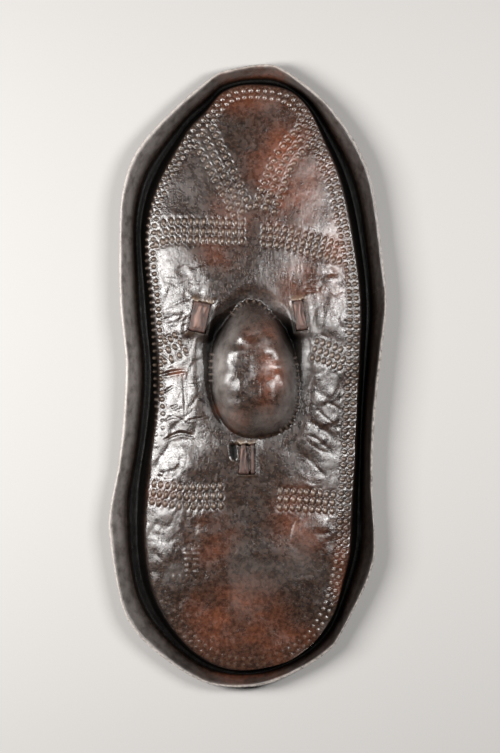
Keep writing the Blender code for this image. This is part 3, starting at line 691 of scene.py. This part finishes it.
def all_beads():
    """Every bead: centre, direction across its row, half length across, half width along, height."""
    random = np.random.default_rng(BEAD_SEED)
    insets = around(BORDER_INSETS, np.arctan2(FIELD_LINE[:, 1], FIELD_LINE[:, 0]))
    border = offset_line(FIELD_LINE, insets[:, None], True)
    nibs = bead_rows(BOSS_LINE * NIB_RING + BOSS_CENTRE, 1, (0, 0), NIB_PITCH, True)
    nibs = [nib for nib in nibs if around(NIB_PLACES, from_boss(*nib[:2])[0]) > 0.5]
    border_beads = bead_rows(border, BORDER_ROWS, BORDER_SPACING, BORDER_PITCH, True)
    groups = [(border_beads, BORDER_BEAD), (nibs, NIB)]
    for line, rows, spacing, pitch, half_sizes in BANDS:
        middle = smooth_line(on_shield(line), False)
        groups.append((bead_rows(middle, rows, spacing, pitch, False), half_sizes))
    beads = []
    for number, (group, (half_across, half_along)) in enumerate(groups):
        for x, y, side_x, side_y in group:
            shift = random.normal(0, BEAD_SHIFT, 2)
            size = random.uniform(*BEAD_SIZES, 3)
            clear = min(float(pad.distance(x, y)) for pad in PADS)
            crowded = any(math.hypot(x - b[0], y - b[1]) < BEAD_CROWD for b in beads)
            stands = strength(x, y, number == 0)
            if clear > BEAD_PAD_CLEARANCE and not crowded and stands > LEAST_STRENGTH:
                beads.append((x + shift[0], y + shift[1], side_x, side_y, half_across * size[0],
                              half_along * size[1], BEAD_HEIGHT * size[2] * stands))
    return beads


BEADS = all_beads()


def near_beads(plan, reach):
    """Which of the points lie within reach of a bead."""
    order = np.argsort(plan[:, 1])
    x, y = plan[order, 0], plan[order, 1]
    found = np.zeros(len(plan), bool)
    for bead in BEADS:
        first, last = np.searchsorted(y, (bead[1] - reach, bead[1] + reach))
        close = np.hypot(x[first:last] - bead[0], y[first:last] - bead[1]) < reach
        found[order[first:last][close]] = True
    return found


def bead_relief(x, y):
    """Lift of the beads with the pits between them, and how much each place belongs to a bead."""
    lift = np.zeros_like(x)
    raised = np.zeros_like(x)
    order = np.argsort(y)
    sorted_y = y[order]
    for cx, cy, side_x, side_y, half_across, half_along, height in BEADS:
        first, last = np.searchsorted(sorted_y, (cy - PIT_LIMIT, cy + PIT_LIMIT))
        near = order[first:last]
        near = near[np.abs(x[near] - cx) < PIT_LIMIT]
        dx, dy = x[near] - cx, y[near] - cy
        across = (dx * side_x + dy * side_y) / half_across
        along = (dx * side_y - dy * side_x) / half_along
        reach = np.hypot(across, along)
        full = min(1.0, height / BEAD_HEIGHT)
        bump = np.clip(1 - reach**2, 0, 1) ** BEAD_ROUNDING
        pit = np.exp(-((reach - PIT_PLACE) / PIT_WIDTH) ** 2) * full
        sunk = np.where(lift[near] > 0, lift[near], np.minimum(lift[near], -PIT_DEPTH * pit))
        lift[near] = np.where(bump > 0, np.maximum(lift[near], height * bump), sunk)
        raised[near] = np.maximum(raised[near], bump * full)
    return lift, raised


def worked_weight(x, y):
    """1 where the face may be dented, 0 under the thongs."""
    weight = np.ones_like(x)
    for pad in PADS:
        weight *= after(np.hypot(*past_box(*pad.local(x, y), STRAP_SPAN / 2, pad.width / 2)), STRAP_CLEAR)
    return weight


def dents(x, y, beaded):
    """The hide's undulations, dents, wrinkles and creases, as a lift along the normal."""
    out = way_out(x, y)
    inner = 1 - after(out, FIELD_END)
    left = after(-x, LEFT_START) * inner * after(-y, LEFT_TOP_END)
    left *= 1 - LEFT_FOOT_CALM_SHARE * after(-y, LEFT_FOOT_CALM)
    right = after(x, RIGHT_START) * inner * after(-y, RIGHT_TOP_END)
    everywhere, at_foot, at_sides = WORK_SHARES
    worked = everywhere + at_foot * after(-y, FOOT_START) + at_sides * np.maximum(left, right)
    worked = (1 - BEAD_CALM * beaded) * np.clip(worked, 0, 1)
    boss_reach = np.hypot(x - BOSS_CENTRE[0], (y - BOSS_CENTRE[1]) * BOSS_TOP_SQUEEZE)
    lift = layered(x, y, SWELLS) * inner * (1 - TOP_CALM_SHARE * after(y, TOP_CALM))
    lift += layered(x, y, DIMPLES) * worked
    lift += layered(x, y, BOSS_DENTS) * (1 - after(boss_reach, BOSS_TOP_END))
    for wrinkles, side in ((LEFT_WRINKLES, left), (RIGHT_WRINKLES, right)):
        for degrees, seed in wrinkles:
            patch = after(lumps(x, y, WRINKLE_PATCH_SIZE, seed + 20), WRINKLE_PATCH)
            wrinkled = valleys(x, y, WRINKLE_SIZE, degrees, WRINKLE_STRETCH, seed)
            lift -= WRINKLE_DEPTH * wrinkled * side * patch * worked
    depth, *furrow = FURROW
    lift -= depth * valleys(x, y, *furrow) * inner * worked
    lift += layered(x, y, RIM_DENTS) * after(out, RIM_START)
    for line, depth, half_width in CREASES:
        deep = near_line(x, y, line, half_width)
        shoulder = near_line(x, y, line, half_width * SHOULDER_WIDTH)
        lift += depth * (SHOULDER_LIFT * (shoulder - deep) - deep)
    return lift - HOLLOW_DEPTH * hollow(x, y)


def hollow(x, y):
    """The hollow on the left of the lower thong, painted dark as shade: 1 inside it and 0 away from it."""
    centre = on_shield([HOLLOW_CENTRE_MM])[0]
    ragged = 1 + layered(x, y, HOLLOW_RAG)
    across = (x - centre[0] + HOLLOW_LEAN * (y - centre[1])) / (HOLLOW_HALF_WIDTH * ragged)
    along = (y - centre[1]) / (HOLLOW_HALF_LENGTH * ragged)
    return 1 - after((across**4 + along**4) ** 0.25, HOLLOW_EDGE)


def slit_lips(x, y):
    """How the frayed edges of the slits curl up over the thongs, and how pale they are."""
    move = np.zeros((len(x), 3))
    pale = np.zeros_like(x)
    fray = np.clip(FRAY + layered(x, y, FRAY_LUMPS), *FRAY_LIMITS)
    for pad in PADS:
        along, across = pad.local(x, y)
        for centre, half, reach in pad.slits():
            end, share = (1.0, 1.0) if centre > 0 else (-1.0, LOWER_LIP_SHARE)
            past_end, past_side = past_box(along - centre, across, half, reach)
            away = np.hypot(past_end, past_side * LIP_SIDE_SQUEEZE)
            beyond = rise(((along - centre) * end - half + LIP_STEP) / LIP_STEP)
            lip = np.exp(-((away / LIP_WIDTH) ** 2)) * beyond * fray * share
            move[:, 2] += LIP_RISE * lip
            move[:, :2] -= (end * LIP_LEAN * lip * (past_side < LIP_SIDE_LIMIT))[:, None] * pad.along
            paleness = np.exp(-((away / LIP_PALE_WIDTH) ** 2)) * beyond * np.clip(fray, 0, 1) * share
            pale = np.maximum(pale, paleness)
    return move, pale


def ring_at(reach_at, columns):
    """A ring of points round the shield, whose distance from the middle is a function of the angle."""
    line = even_steps(RIM_LINE, columns, True)
    angle = np.arctan2(line[:, 1], line[:, 0])
    reach = reach_at(angle)
    return np.stack([reach * np.cos(angle), reach * np.sin(angle)], axis=1)


def ring(share, columns):
    """A ring of points this share of the way from the field's edge to the lip."""
    def reach_at(angle):
        low = field_radius(angle)
        return low + (rim_radius(angle) - HIDE - low) * share

    return ring_at(reach_at, columns)


def lip_ring(inset, columns):
    """A ring of points this far inside the outermost edge."""
    return ring_at(lambda angle: rim_radius(angle) - inset, columns)


def lattice(spacing):
    """A grid of staggered points that covers the shield."""
    rows = np.arange(-LENGTH / 2, LENGTH / 2, spacing * math.sqrt(3) / 2)
    columns = np.arange(-WIDTH / 2, WIDTH / 2, spacing)
    return np.array([(x + spacing / 2 * (k % 2), y) for k, y in enumerate(rows) for x in columns])


def slit_loops():
    """The outline of every slit, with a ragged edge."""
    loops = []
    for pad in PADS:
        for centre, half, reach in pad.slits():
            high, low = centre + half, centre - half
            corners = ((high, reach), (low, reach), (low, -reach), (high, -reach))
            outline = even_steps(np.array(corners), SLIT_POINTS, True)
            ragged = 0.5 + layered(outline[:, 0], outline[:, 1], SLIT_LUMPS)
            inward = np.sign(np.array((centre, 0.0)) - outline) * SLIT_RAG
            outline = outline + inward * ragged[:, None]
            loops.append(np.array([pad.place(a, b) for a, b in outline]))
    return loops


def inside_loop(points, loop):
    """Which of the points lie inside a closed loop."""
    inside = np.zeros(len(points), bool)
    for a, b in zip(loop, np.roll(loop, -1, axis=0)):
        spans = (a[1] > points[:, 1]) != (b[1] > points[:, 1])
        rise_y = b[1] - a[1] if b[1] != a[1] else 1.0
        crossing = a[0] + (points[:, 1] - a[1]) / rise_y * (b[0] - a[0])
        inside ^= spans & (points[:, 0] < crossing)
    return inside


def outside_slits(plan, margin):
    """Which of the points lie this far outside every slit."""
    keep = np.ones(len(plan), bool)
    for pad in PADS:
        along, across = pad.local(plan[:, 0], plan[:, 1])
        for centre, half, reach in pad.slits():
            keep &= (np.abs(along - centre) > half + margin) | (np.abs(across) > reach + margin)
    return keep


def field_lattice(spacing):
    """A lattice inside the field, clear of its edge and of the slits."""
    fill = lattice(spacing)
    inside = way_out(fill[:, 0], fill[:, 1]) < -spacing / 2 / CHANNEL_WIDTH
    return fill[inside & outside_slits(fill, spacing * SLIT_CLEARANCE)]


def near_pads(plan, reach):
    """Which of the points lie within reach of a thong's pad."""
    return np.min([pad.distance(plan[:, 0], plan[:, 1]) for pad in PADS], axis=0) < reach


def face_fill():
    """The face's free points, closer together near the beads and the thongs."""
    fine = field_lattice(BEAD_LATTICE)
    coarse = field_lattice(FACE_LATTICE)
    fine = fine[near_beads(fine, BEAD_REACH) | near_pads(fine, PAD_REACH)]
    beyond = BEAD_LATTICE / 2
    coarse = coarse[~near_beads(coarse, BEAD_REACH + beyond) & ~near_pads(coarse, PAD_REACH + beyond)]
    return np.vstack([fine, coarse])


def loop_edges(loop, first):
    """The edges round a closed loop of points whose first one has this number."""
    return [(first + k, first + (k + 1) % len(loop)) for k in range(len(loop))]


def surface(rings, fill, loops):
    """Joins rings, free points and the slits into triangles. The first ring is the outer edge."""
    plan = np.vstack([*rings, fill, *loops])
    edges = []
    first = 0
    for line in rings:
        edges += loop_edges(line, first)
        first += len(line)
    first += len(fill)
    for loop in loops:
        edges += loop_edges(loop, first)
        first += len(loop)
    points, _, faces, came_from, _, _ = delaunay_2d_cdt([tuple(p) for p in plan], edges, [], 1, SAME_POINT)
    points = np.array([tuple(p) for p in points])
    index = np.zeros(len(plan), int)
    for new, ids in enumerate(came_from):
        for old in ids:
            index[old] = new
    faces = np.array(faces)
    middle = points[faces].mean(axis=1)
    for loop in loops:
        keep = ~inside_loop(middle, loop)
        faces, middle = faces[keep], middle[keep]
    slit_index = []
    start = len(plan) - sum(len(loop) for loop in loops)
    for loop in loops:
        slit_index.append(index[start:start + len(loop)])
        start += len(loop)
    return points, faces, index[:len(rings[0])], slit_index


def face_mesh(loops):
    """The face's points in space, its triangles, edge loops and surface values."""
    rings = [lip_ring(inset * HIDE, RIM_COLUMNS) for inset in LIP_RINGS]
    rings += [ring(share, RIM_COLUMNS) for share in FACE_RINGS]
    plan, faces, outer, slits = surface(rings, face_fill(), loops)
    x, y = plan[:, 0], plan[:, 1]
    z = face_height(x, y)
    inset = rim_radius(np.arctan2(y, x)) - np.hypot(x, y)
    rounding = np.clip(1 - inset / HIDE, 0, 1)
    nick = NICK_DEPTH * np.clip(layered(x, y, NICKS), 0, 2)
    z -= HIDE * LIP_ROUNDING * rounding**LIP_ROUNDING_POWER + nick * rounding
    beads, raised = bead_relief(x, y)
    lips, pale = slit_lips(x, y)
    weight = worked_weight(x, y) * (1 - rise(rounding / LIP_CALM))
    beaded = near_beads(plan, BEAD_REACH).astype(float)
    lift = (beads + dents(x, y, beaded)) * weight
    points = np.column_stack([x, y, z]) + face_normal(x, y) * lift[:, None] + lips
    return points, faces, outer, slits, {"raised": raised * weight, "pale": pale, "edge": rounding}


def back_mesh(loops):
    """The back's points in space, its triangles and edge loops."""
    rings = [lip_ring(BACK_LIP_INSET * HIDE, RIM_COLUMNS)]
    rings += [ring(share, BACK_COLUMNS) for share in BACK_RINGS]
    plan, faces, outer, slits = surface(rings, field_lattice(BACK_LATTICE), loops)
    x, y = plan[:, 0], plan[:, 1]
    z = underside_height(x, y)
    z[outer] = face_height(x[outer], y[outer]) - HIDE * BACK_LIP_DROP
    return np.column_stack([x, y, z]), faces, outer, slits


class Look:
    """A material under construction."""

    def __init__(self, name):
        self.material = bpy.data.materials.new(name)
        self.material.use_nodes = True
        self.tree = self.material.node_tree
        self.shader = self.tree.nodes["Principled BSDF"]
        self.place = self.tree.nodes.new("ShaderNodeTexCoord").outputs["Object"]

    def link(self, source, target):
        """Joins two sockets."""
        self.tree.links.new(source, target)

    def node(self, kind, **settings):
        """A new node with these properties or input values. Underscores in an input's name are spaces."""
        made = self.tree.nodes.new(kind)
        for name, value in settings.items():
            socket = name.replace("_", " ")
            if socket in made.inputs:
                made.inputs[socket].default_value = value
            else:
                setattr(made, name, value)
        return made

    def stretched(self, scale, turn=0.0):
        """The surface's own coordinates, turned and stretched."""
        made = self.node("ShaderNodeMapping", Scale=scale, Rotation=(0, 0, turn))
        self.link(self.place, made.inputs["Vector"])
        return made.outputs["Vector"]

    def noise(self, size, detail=4.0, roughness=0.55, scale=(1, 1, 1), distortion=0.0, turn=0.0):
        """Cloudy noise with lumps of this size in metres."""
        made = self.node("ShaderNodeTexNoise", Scale=1 / size, Detail=detail, Roughness=roughness,
                         Distortion=distortion)
        self.link(self.stretched(scale, turn), made.inputs["Vector"])
        return made.outputs["Fac"]

    def cells(self, size):
        """Cells of this size: the distance to their edges."""
        made = self.node("ShaderNodeTexVoronoi", feature="DISTANCE_TO_EDGE", Scale=1 / size)
        self.link(self.stretched((1, 1, 1)), made.inputs["Vector"])
        return made.outputs["Distance"]

    def attribute(self, name):
        """A value stored on the mesh."""
        return self.node("ShaderNodeAttribute", attribute_name=name).outputs["Fac"]

    def ramp(self, source, low, high, to_low=0.0, to_high=1.0):
        """The value mapped from one range to another, smoothly and clamped."""
        made = self.node("ShaderNodeMapRange", interpolation_type="SMOOTHSTEP", From_Min=low, From_Max=high,
                         To_Min=to_low, To_Max=to_high)
        self.link(source, made.inputs["Value"])
        return made.outputs["Result"]

    def math(self, operation, first, second):
        """Two values put together."""
        made = self.node("ShaderNodeMath", operation=operation)
        for socket, value in zip(made.inputs, (first, second)):
            if isinstance(value, (int, float)):
                socket.default_value = value
            else:
                self.link(value, socket)
        return made.outputs["Value"]

    def mix(self, share, first, second):
        """Two colours mixed."""
        made = self.node("ShaderNodeMix", data_type="RGBA")
        self.link(share, made.inputs["Factor"])
        for socket, value in ((made.inputs[6], first), (made.inputs[7], second)):
            if isinstance(value, tuple):
                socket.default_value = (*value, 1.0)
            else:
                self.link(value, socket)
        return made.outputs[2]

    def spotted(self, name, mask, low, high, to_low, to_high=1.0):
        """A value stored on the mesh, broken up by a mask."""
        return self.math("MULTIPLY", self.attribute(name), self.ramp(mask, low, high, to_low, to_high))

    def bumps(self, layers):
        """Fine relief from layers of height and depth, each on top of the last."""
        previous = None
        for height, depth in layers:
            made = self.node("ShaderNodeBump", Distance=depth)
            self.link(height, made.inputs["Height"])
            if previous:
                self.link(previous, made.inputs["Normal"])
            previous = made.outputs["Normal"]
        self.link(previous, self.shader.inputs["Normal"])

    def finish(self, colour, roughness, gloss):
        """Joins colour and roughness to the shader and sets its gloss."""
        self.link(colour, self.shader.inputs["Base Color"])
        self.link(roughness, self.shader.inputs["Roughness"])
        self.shader.inputs["Specular IOR Level"].default_value = gloss
        return self.material


def face_look(name, gloss):
    """Dark patina, worn to reddish brown, with dust and painted light on the rim, painted shade in deep
    places, a pale lip edge that is partly a painted highlight, and pale frayed cuts. Painted shade takes its
    gloss.
    """
    look = Look(name)
    cloud = look.noise(0.07, 6, 0.62)
    speckle = look.noise(0.006, 5, 0.7)
    red = look.spotted("red", cloud, 0.38, 0.62, 0.25)
    red = look.math("MULTIPLY", red, look.ramp(speckle, 0.3, 0.62, 0.45))
    colour = look.mix(look.ramp(speckle, 0.35, 0.7), *PATINA)
    colour = look.mix(red, colour, RUST)
    colour = look.mix(look.spotted("raised", speckle, 0.3, 0.6, 0.35, 0.9), colour, WORN_BEAD)
    # Pale grey for dust, and for painted light on the rim's left side and the boss's flanks
    colour = look.mix(look.spotted("dust_and_painted_light", look.noise(0.018, 6, 0.65), 0.28, 0.62, 0.35), colour, DUST_AND_PAINTED_LIGHT)
    # Painted shade: the channel, the moat, the rim's right side and the hollow turn near black
    colour = look.mix(look.attribute("deep"), colour, PAINTED_SHADE)
    # The lip's edge: paler as a cut edge, and a painted highlight along it
    colour = look.mix(look.spotted("edge", speckle, 0.32, 0.6, 0.3), colour, CUT_EDGE_AND_HIGHLIGHT)
    colour = look.mix(look.attribute("pale"), colour, FRAYED)
    rough = look.ramp(look.noise(0.012, 5, 0.65), 0.3, 0.72, 0.20, 0.34)
    for value, more in (("deep", 0.14), ("dust_and_painted_light", 0.22), ("pale", 0.2)):
        rough = look.math("ADD", rough, look.math("MULTIPLY", look.attribute(value), more))
    crackle = look.ramp(look.cells(0.0042), 0.0, 0.10)
    grain = look.noise(0.0011, 3, 0.6)
    pebble = look.noise(0.0045, 4, 0.6)
    wrinkle = look.noise(0.0045, 4, 0.6, (1, 0.3, 1), 0.5, -0.7)
    look.bumps(((wrinkle, 0.00042), (pebble, 0.00014), (crackle, 0.00005), (grain, 0.00004)))
    return look.finish(colour, rough, gloss)


def back_look():
    """The flesh side: matt, fibrous and brown."""
    look = Look("hide_back")
    fibre = look.noise(0.004, 5, 0.65, (1, 0.35, 1), 0.6)
    cloud = look.noise(0.06, 4)
    colour = look.mix(look.ramp(fibre, 0.3, 0.7), *FLESH_SIDE)
    colour = look.mix(look.ramp(cloud, 0.42, 0.7, 0, 0.7), colour, FLESH_STAIN)
    look.bumps(((fibre, 0.0008), (look.noise(0.0013), 0.0004)))
    return look.finish(colour, look.ramp(cloud, 0.3, 0.7, 0.62, 0.8), 0.35)


def thong_look():
    """Rubbed hide strip, reddish brown with pale scuffed folds."""
    look = Look("thong_hide")
    streak = look.noise(0.0035, 5, 0.65, (1, 0.22, 1))
    colour = look.mix(look.ramp(streak, 0.3, 0.68), *STRIP)
    colour = look.mix(look.attribute("fold"), colour, STRIP_FOLD)
    look.bumps(((streak, 0.0007), (look.noise(0.0008), 0.0003)))
    return look.finish(colour, look.ramp(streak, 0.3, 0.7, 0.42, 0.62), 0.35)


def wood_look():
    """Dark wood polished by handling, with its grain along the upright."""
    look = Look("grip_wood")
    rings = look.noise(0.006, 5, 0.6, (0.12, 0.12, 1), 1.2)
    pores = look.noise(0.0012, 3, 0.7, (0.10, 0.10, 1))
    colour = look.mix(look.ramp(rings, 0.32, 0.68), *WOOD)
    colour = look.mix(look.ramp(pores, 0.55, 0.72, 0, 0.7), colour, WOOD_PORES)
    look.bumps(((rings, 0.0006), (pores, 0.0003)))
    return look.finish(colour, look.ramp(rings, 0.3, 0.7, 0.32, 0.5), 0.5)


def moat_shade(x, y):
    """How much painted shade lies in the moat, most at its two upper ends and close to the boss's foot, and
    in the hollow by the lower thong.
    """
    angle, reach = from_boss(x, y)
    soot = around(MOAT_PAINTED_SHADE, angle)
    width = MOAT_PAINTED_SHADE_WIDTHS[0] + MOAT_PAINTED_SHADE_WIDTHS[1] * soot**2
    near = np.exp(-((reach - boss_radius(angle) - MOAT_PAINTED_SHADE_PLACE) / width) ** 2)
    return np.maximum(near * soot, hollow(x, y))


def boss_flank(x, y):
    """Where painted light turns the boss's flanks grey: most on the left."""
    angle, reach = from_boss(x, y)
    share = reach / boss_radius(angle)
    return around(FLANK_PAINTED_LIGHT, angle) * after(share, FLANK_START) * (1 - after(share, FLANK_END))


def store(mesh, name, values):
    """Keeps a value for each point of the mesh."""
    layer = mesh.attributes.new(name, "FLOAT", "POINT")
    layer.data.foreach_set("value", np.asarray(values, np.float32))


def in_scene(name, data):
    """A new object of the scene."""
    made = bpy.data.objects.new(name, data)
    bpy.context.scene.collection.objects.link(made)
    return made


def new_piece(name, points, polygons, looks, slots=None):
    """A smooth mesh object."""
    mesh = bpy.data.meshes.new(name)
    mesh.from_pydata(np.asarray(points, float).tolist(), [], [tuple(map(int, p)) for p in polygons])
    for look in looks:
        mesh.materials.append(look)
    if slots is not None:
        mesh.polygons.foreach_set("material_index", np.asarray(slots, np.int32))
    mesh.shade_smooth()
    mesh.update()
    return in_scene(name, mesh)


def joined(ahead, behind, first):
    """Four-sided faces between a loop of the face and the same loop of the back."""
    count = len(ahead)
    return [(ahead[k], ahead[(k + 1) % count], first + behind[(k + 1) % count], first + behind[k])
            for k in range(count)]


def surface_values(face, relief):
    """What the face's look depends on, for each of its points."""
    x, y = face[:, 0], face[:, 1]
    out = way_out(x, y)
    angle = np.arctan2(y, x)
    # Dust on the rim, the lip and the field, with painted light on the rim's left side
    dust_and_painted_light = after(out, RIM_DUST_AND_PAINTED_LIGHT_START) * around(RIM_DUST_AND_PAINTED_LIGHT, angle) + LIP_DUST * after(out, LIP_DUST_START)
    dust_and_painted_light += FIELD_DUST * after(layered(x, y, DUST_LUMPS), FIELD_DUST_START) * (out < 0)
    # Painted light on the boss's flanks, stored with the dust
    dust_and_painted_light += boss_flank(x, y)
    # Painted shade in the channel, on the rim, most on the right, and in the moat and the hollow
    deep = after(out, CHANNEL_PAINTED_SHADE_START) * (1 - after(out, CHANNEL_PAINTED_SHADE_END))
    deep = np.maximum(deep, RIM_PAINTED_SHADE_SHARE * after(out, RIM_PAINTED_SHADE_START) * around(RIM_PAINTED_SHADE, angle))
    deep = np.maximum(deep, moat_shade(x, y))
    red = np.zeros_like(x)
    for (cx, cy), half_x, half_y, redness in RED_PATCHES:
        reach = np.hypot((x / MM - cx) / half_x, (y / MM - cy) / half_y)
        red = np.maximum(red, redness * (1 - rise(reach / RED_REACH)))
    return {
        "raised": relief["raised"],
        "deep": np.clip(deep, 0, 1) * (1 - relief["raised"]),
        # The lip's edge, paler as a cut edge and as a painted highlight
        "edge": rise(relief["edge"] / EDGE_FADE),
        "pale": np.clip(relief["pale"], 0, 1) * PALE_SHARE,
        "dust_and_painted_light": np.clip(dust_and_painted_light, 0, 1),
        "red": red,
    }


def make_hide():
    """The moulded hide: face, rounded lip, slit walls and back in one closed mesh."""
    loops = slit_loops()
    face, faces, face_outer, face_slits, relief = face_mesh(loops)
    back, back_faces, back_outer, back_slits = back_mesh(loops)
    first = len(face)
    walls = joined(face_outer, back_outer, first)
    for ahead, behind in zip(face_slits, back_slits):
        walls += joined(ahead[::-1], behind[::-1], first)
    values = surface_values(face, relief)
    # Faces deep in painted shade get a copy of the face's look with little gloss
    painted_shade_faces = values["deep"][faces].mean(axis=1) > PAINTED_SHADE_LIMIT
    slots = np.concatenate([np.where(painted_shade_faces, 2, 0), np.zeros(len(walls)), np.ones(len(back_faces))])
    polygons = faces.tolist() + walls + (back_faces[:, ::-1] + first).tolist()
    looks = (face_look("hide_face", 0.6), back_look(), face_look("hide_soot", 0.08))
    piece = new_piece("shield_hide", np.vstack([face, back]), polygons, looks, slots)
    for name, value in values.items():
        store(piece.data, name, np.concatenate([value, np.zeros(len(back))]))
    return piece


def strap_path(pad):
    """The closed line of a strap's middle, along the strap and in height, and its normals."""
    top = pad.height + SEAT_GAP + STRAP_THICKNESS / 2
    under = pad.height - HIDE - SEAT_GAP - PADDLE_THICKNESS - SEAT_GAP - STRAP_THICKNESS / 2
    line = []
    for end, level, start in ((1, 1, 90), (1, -1, 0), (-1, -1, -90), (-1, 1, 180)):
        along = end * (STRAP_SPAN / 2 - STRAP_BEND)
        height = (top if level > 0 else under) - level * STRAP_BEND
        for step in range(BEND_STEPS + 1):
            angle = math.radians(start - 90 * step / BEND_STEPS)
            line.append((along + STRAP_BEND * math.cos(angle), height + STRAP_BEND * math.sin(angle)))
    line = even_steps(np.array(line), STRAP_STEPS, True)
    return line, line - offset_line(line, 1.0, True)


def strap_edge(along, top_edge, bottom_edge, shown, place, seed):
    """How far a strap's wavy side edge lies from the middle line, at this distance along it."""
    down = 0.5 - along / STRAP_SPAN
    wave = shown * STRAP_EDGE_WAVE * lumps(along, place, STRAP_EDGE_WAVE_SIZE, seed)
    return top_edge + (bottom_edge - top_edge) * down + wave


def strap_points(pad, top_edges, bottom_edges, seed):
    """The points of a strap, ring after ring, and how much each lies on a fold."""
    line, outward = strap_path(pad)
    top = pad.height + SEAT_GAP + STRAP_THICKNESS / 2
    points, folds = [], []
    for (along, height), normal in zip(line, outward):
        shown = after(height - top, STRAP_TOP) * after(STRAP_SPAN / 2 - abs(along), STRAP_SHOWN)
        left = strap_edge(along, top_edges[0], bottom_edges[0], shown, 0.3, seed + 3)
        right = strap_edge(along, top_edges[1], bottom_edges[1], shown, 0.7, seed + 4)
        middle, half = (left + right) / 2, (right - left) / 2
        for layer in (1, -1):
            share = layer * (2 * np.arange(STRAP_SIDES) / (STRAP_SIDES - 1) - 1)
            across = middle + half * share
            bend = across + STRAP_SWAY * math.sin(along * STRAP_SWAY_TURNS + seed)
            fold = lumps(bend, along * STRAP_FOLD_SQUEEZE, STRAP_FOLD_SIZE, seed)
            crown = 1 - np.abs(share) ** 3
            flat = STRAP_FLAT_SHARE + (1 - STRAP_FLAT_SHARE) * (1 - share**4)
            relief = (STRAP_CROWN + STRAP_FOLD * fold if layer > 0 else STRAP_UNDER_CROWN) * crown
            lift = layer * STRAP_THICKNESS / 2 * flat + shown * relief
            places = pad.place((along + normal[0] * lift)[:, None], across[:, None])
            points.append(np.column_stack([places, height + normal[1] * lift]))
            folds.append(np.maximum(0.0, fold) * shown * (layer > 0))
    return np.vstack(points), np.concatenate(folds)


def make_strap(pad, name, top_edges, bottom_edges, look, seed):
    """A folded strip of hide that runs through both slits and round the grip, as one closed band."""
    points, folds = strap_points(pad, top_edges, bottom_edges, seed)
    width = 2 * STRAP_SIDES
    polygons = []
    for row in range(STRAP_STEPS):
        a, b = row * width, (row + 1) % STRAP_STEPS * width
        polygons += [(a + k, a + (k + 1) % width, b + (k + 1) % width, b + k) for k in range(width)]
    strap = new_piece(name, points, polygons, (look,))
    store(strap.data, "fold", folds)
    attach(strap, "root")
    return strap


def make_thongs():
    """The strips of the three thongs. The lower thong has two strands."""
    look = thong_look()
    for name, number, seed, top_edges, bottom_edges in STRIPS:
        pad = PADS[number]
        strap = make_strap(pad, name, top_edges, bottom_edges, look, seed)
        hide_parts(pad.name)


def make_camera():
    """The camera straight above. Its lens frames the shield as the photograph does."""
    data = bpy.data.cameras.new("camera")
    data.sensor_width = SENSOR
    data.lens = SENSOR * (CAMERA_HEIGHT - LIP_HEIGHT) / FRAME_HEIGHT
    camera = in_scene("camera", data)
    camera.location = (*FRAME_CENTRE, CAMERA_HEIGHT)
    bpy.context.scene.camera = camera


def make_lights():
    """Soft boxes on both sides that face the shield's middle, and a faint light all round."""
    for name, place, size, power, colour in LIGHTS:
        data = bpy.data.lights.new(name, "AREA")
        data.shape = "RECTANGLE"
        data.size, data.size_y = size
        data.energy = power
        data.color = colour
        box = in_scene(name, data)
        box.location = place
        box.rotation_euler = (-Vector(place)).to_track_quat("-Z", "Y").to_euler()
    bpy.context.scene.view_settings.view_transform = "Standard"
    world = bpy.data.worlds.new("studio")
    bpy.context.scene.world = world
    world.use_nodes = True
    background = world.node_tree.nodes["Background"]
    background.inputs["Color"].default_value = (1, 1, 1, 1)
    background.inputs["Strength"].default_value = WORLD_LIGHT


def make_floor():
    """A plain pale floor."""
    mesh = bpy.data.meshes.new("floor")
    far = FLOOR_REACH
    corners = ((-far, -far, 0), (far, -far, 0), (far, far, 0), (-far, far, 0))
    mesh.from_pydata(corners, [], [(0, 1, 2, 3)])
    look = bpy.data.materials.new("floor")
    look.use_nodes = True
    shader = look.node_tree.nodes["Principled BSDF"]
    shader.inputs["Base Color"].default_value = (*FLOOR, 1)
    shader.inputs["Roughness"].default_value = FLOOR_ROUGHNESS
    mesh.materials.append(look)
    in_scene("floor", mesh)


hide = make_hide()
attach(hide, "root")
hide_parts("hide")
make_thongs()
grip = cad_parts["grip"]
grip.data.materials.clear()
grip.data.materials.append(wood_look())
make_camera()
make_lights()
make_floor()
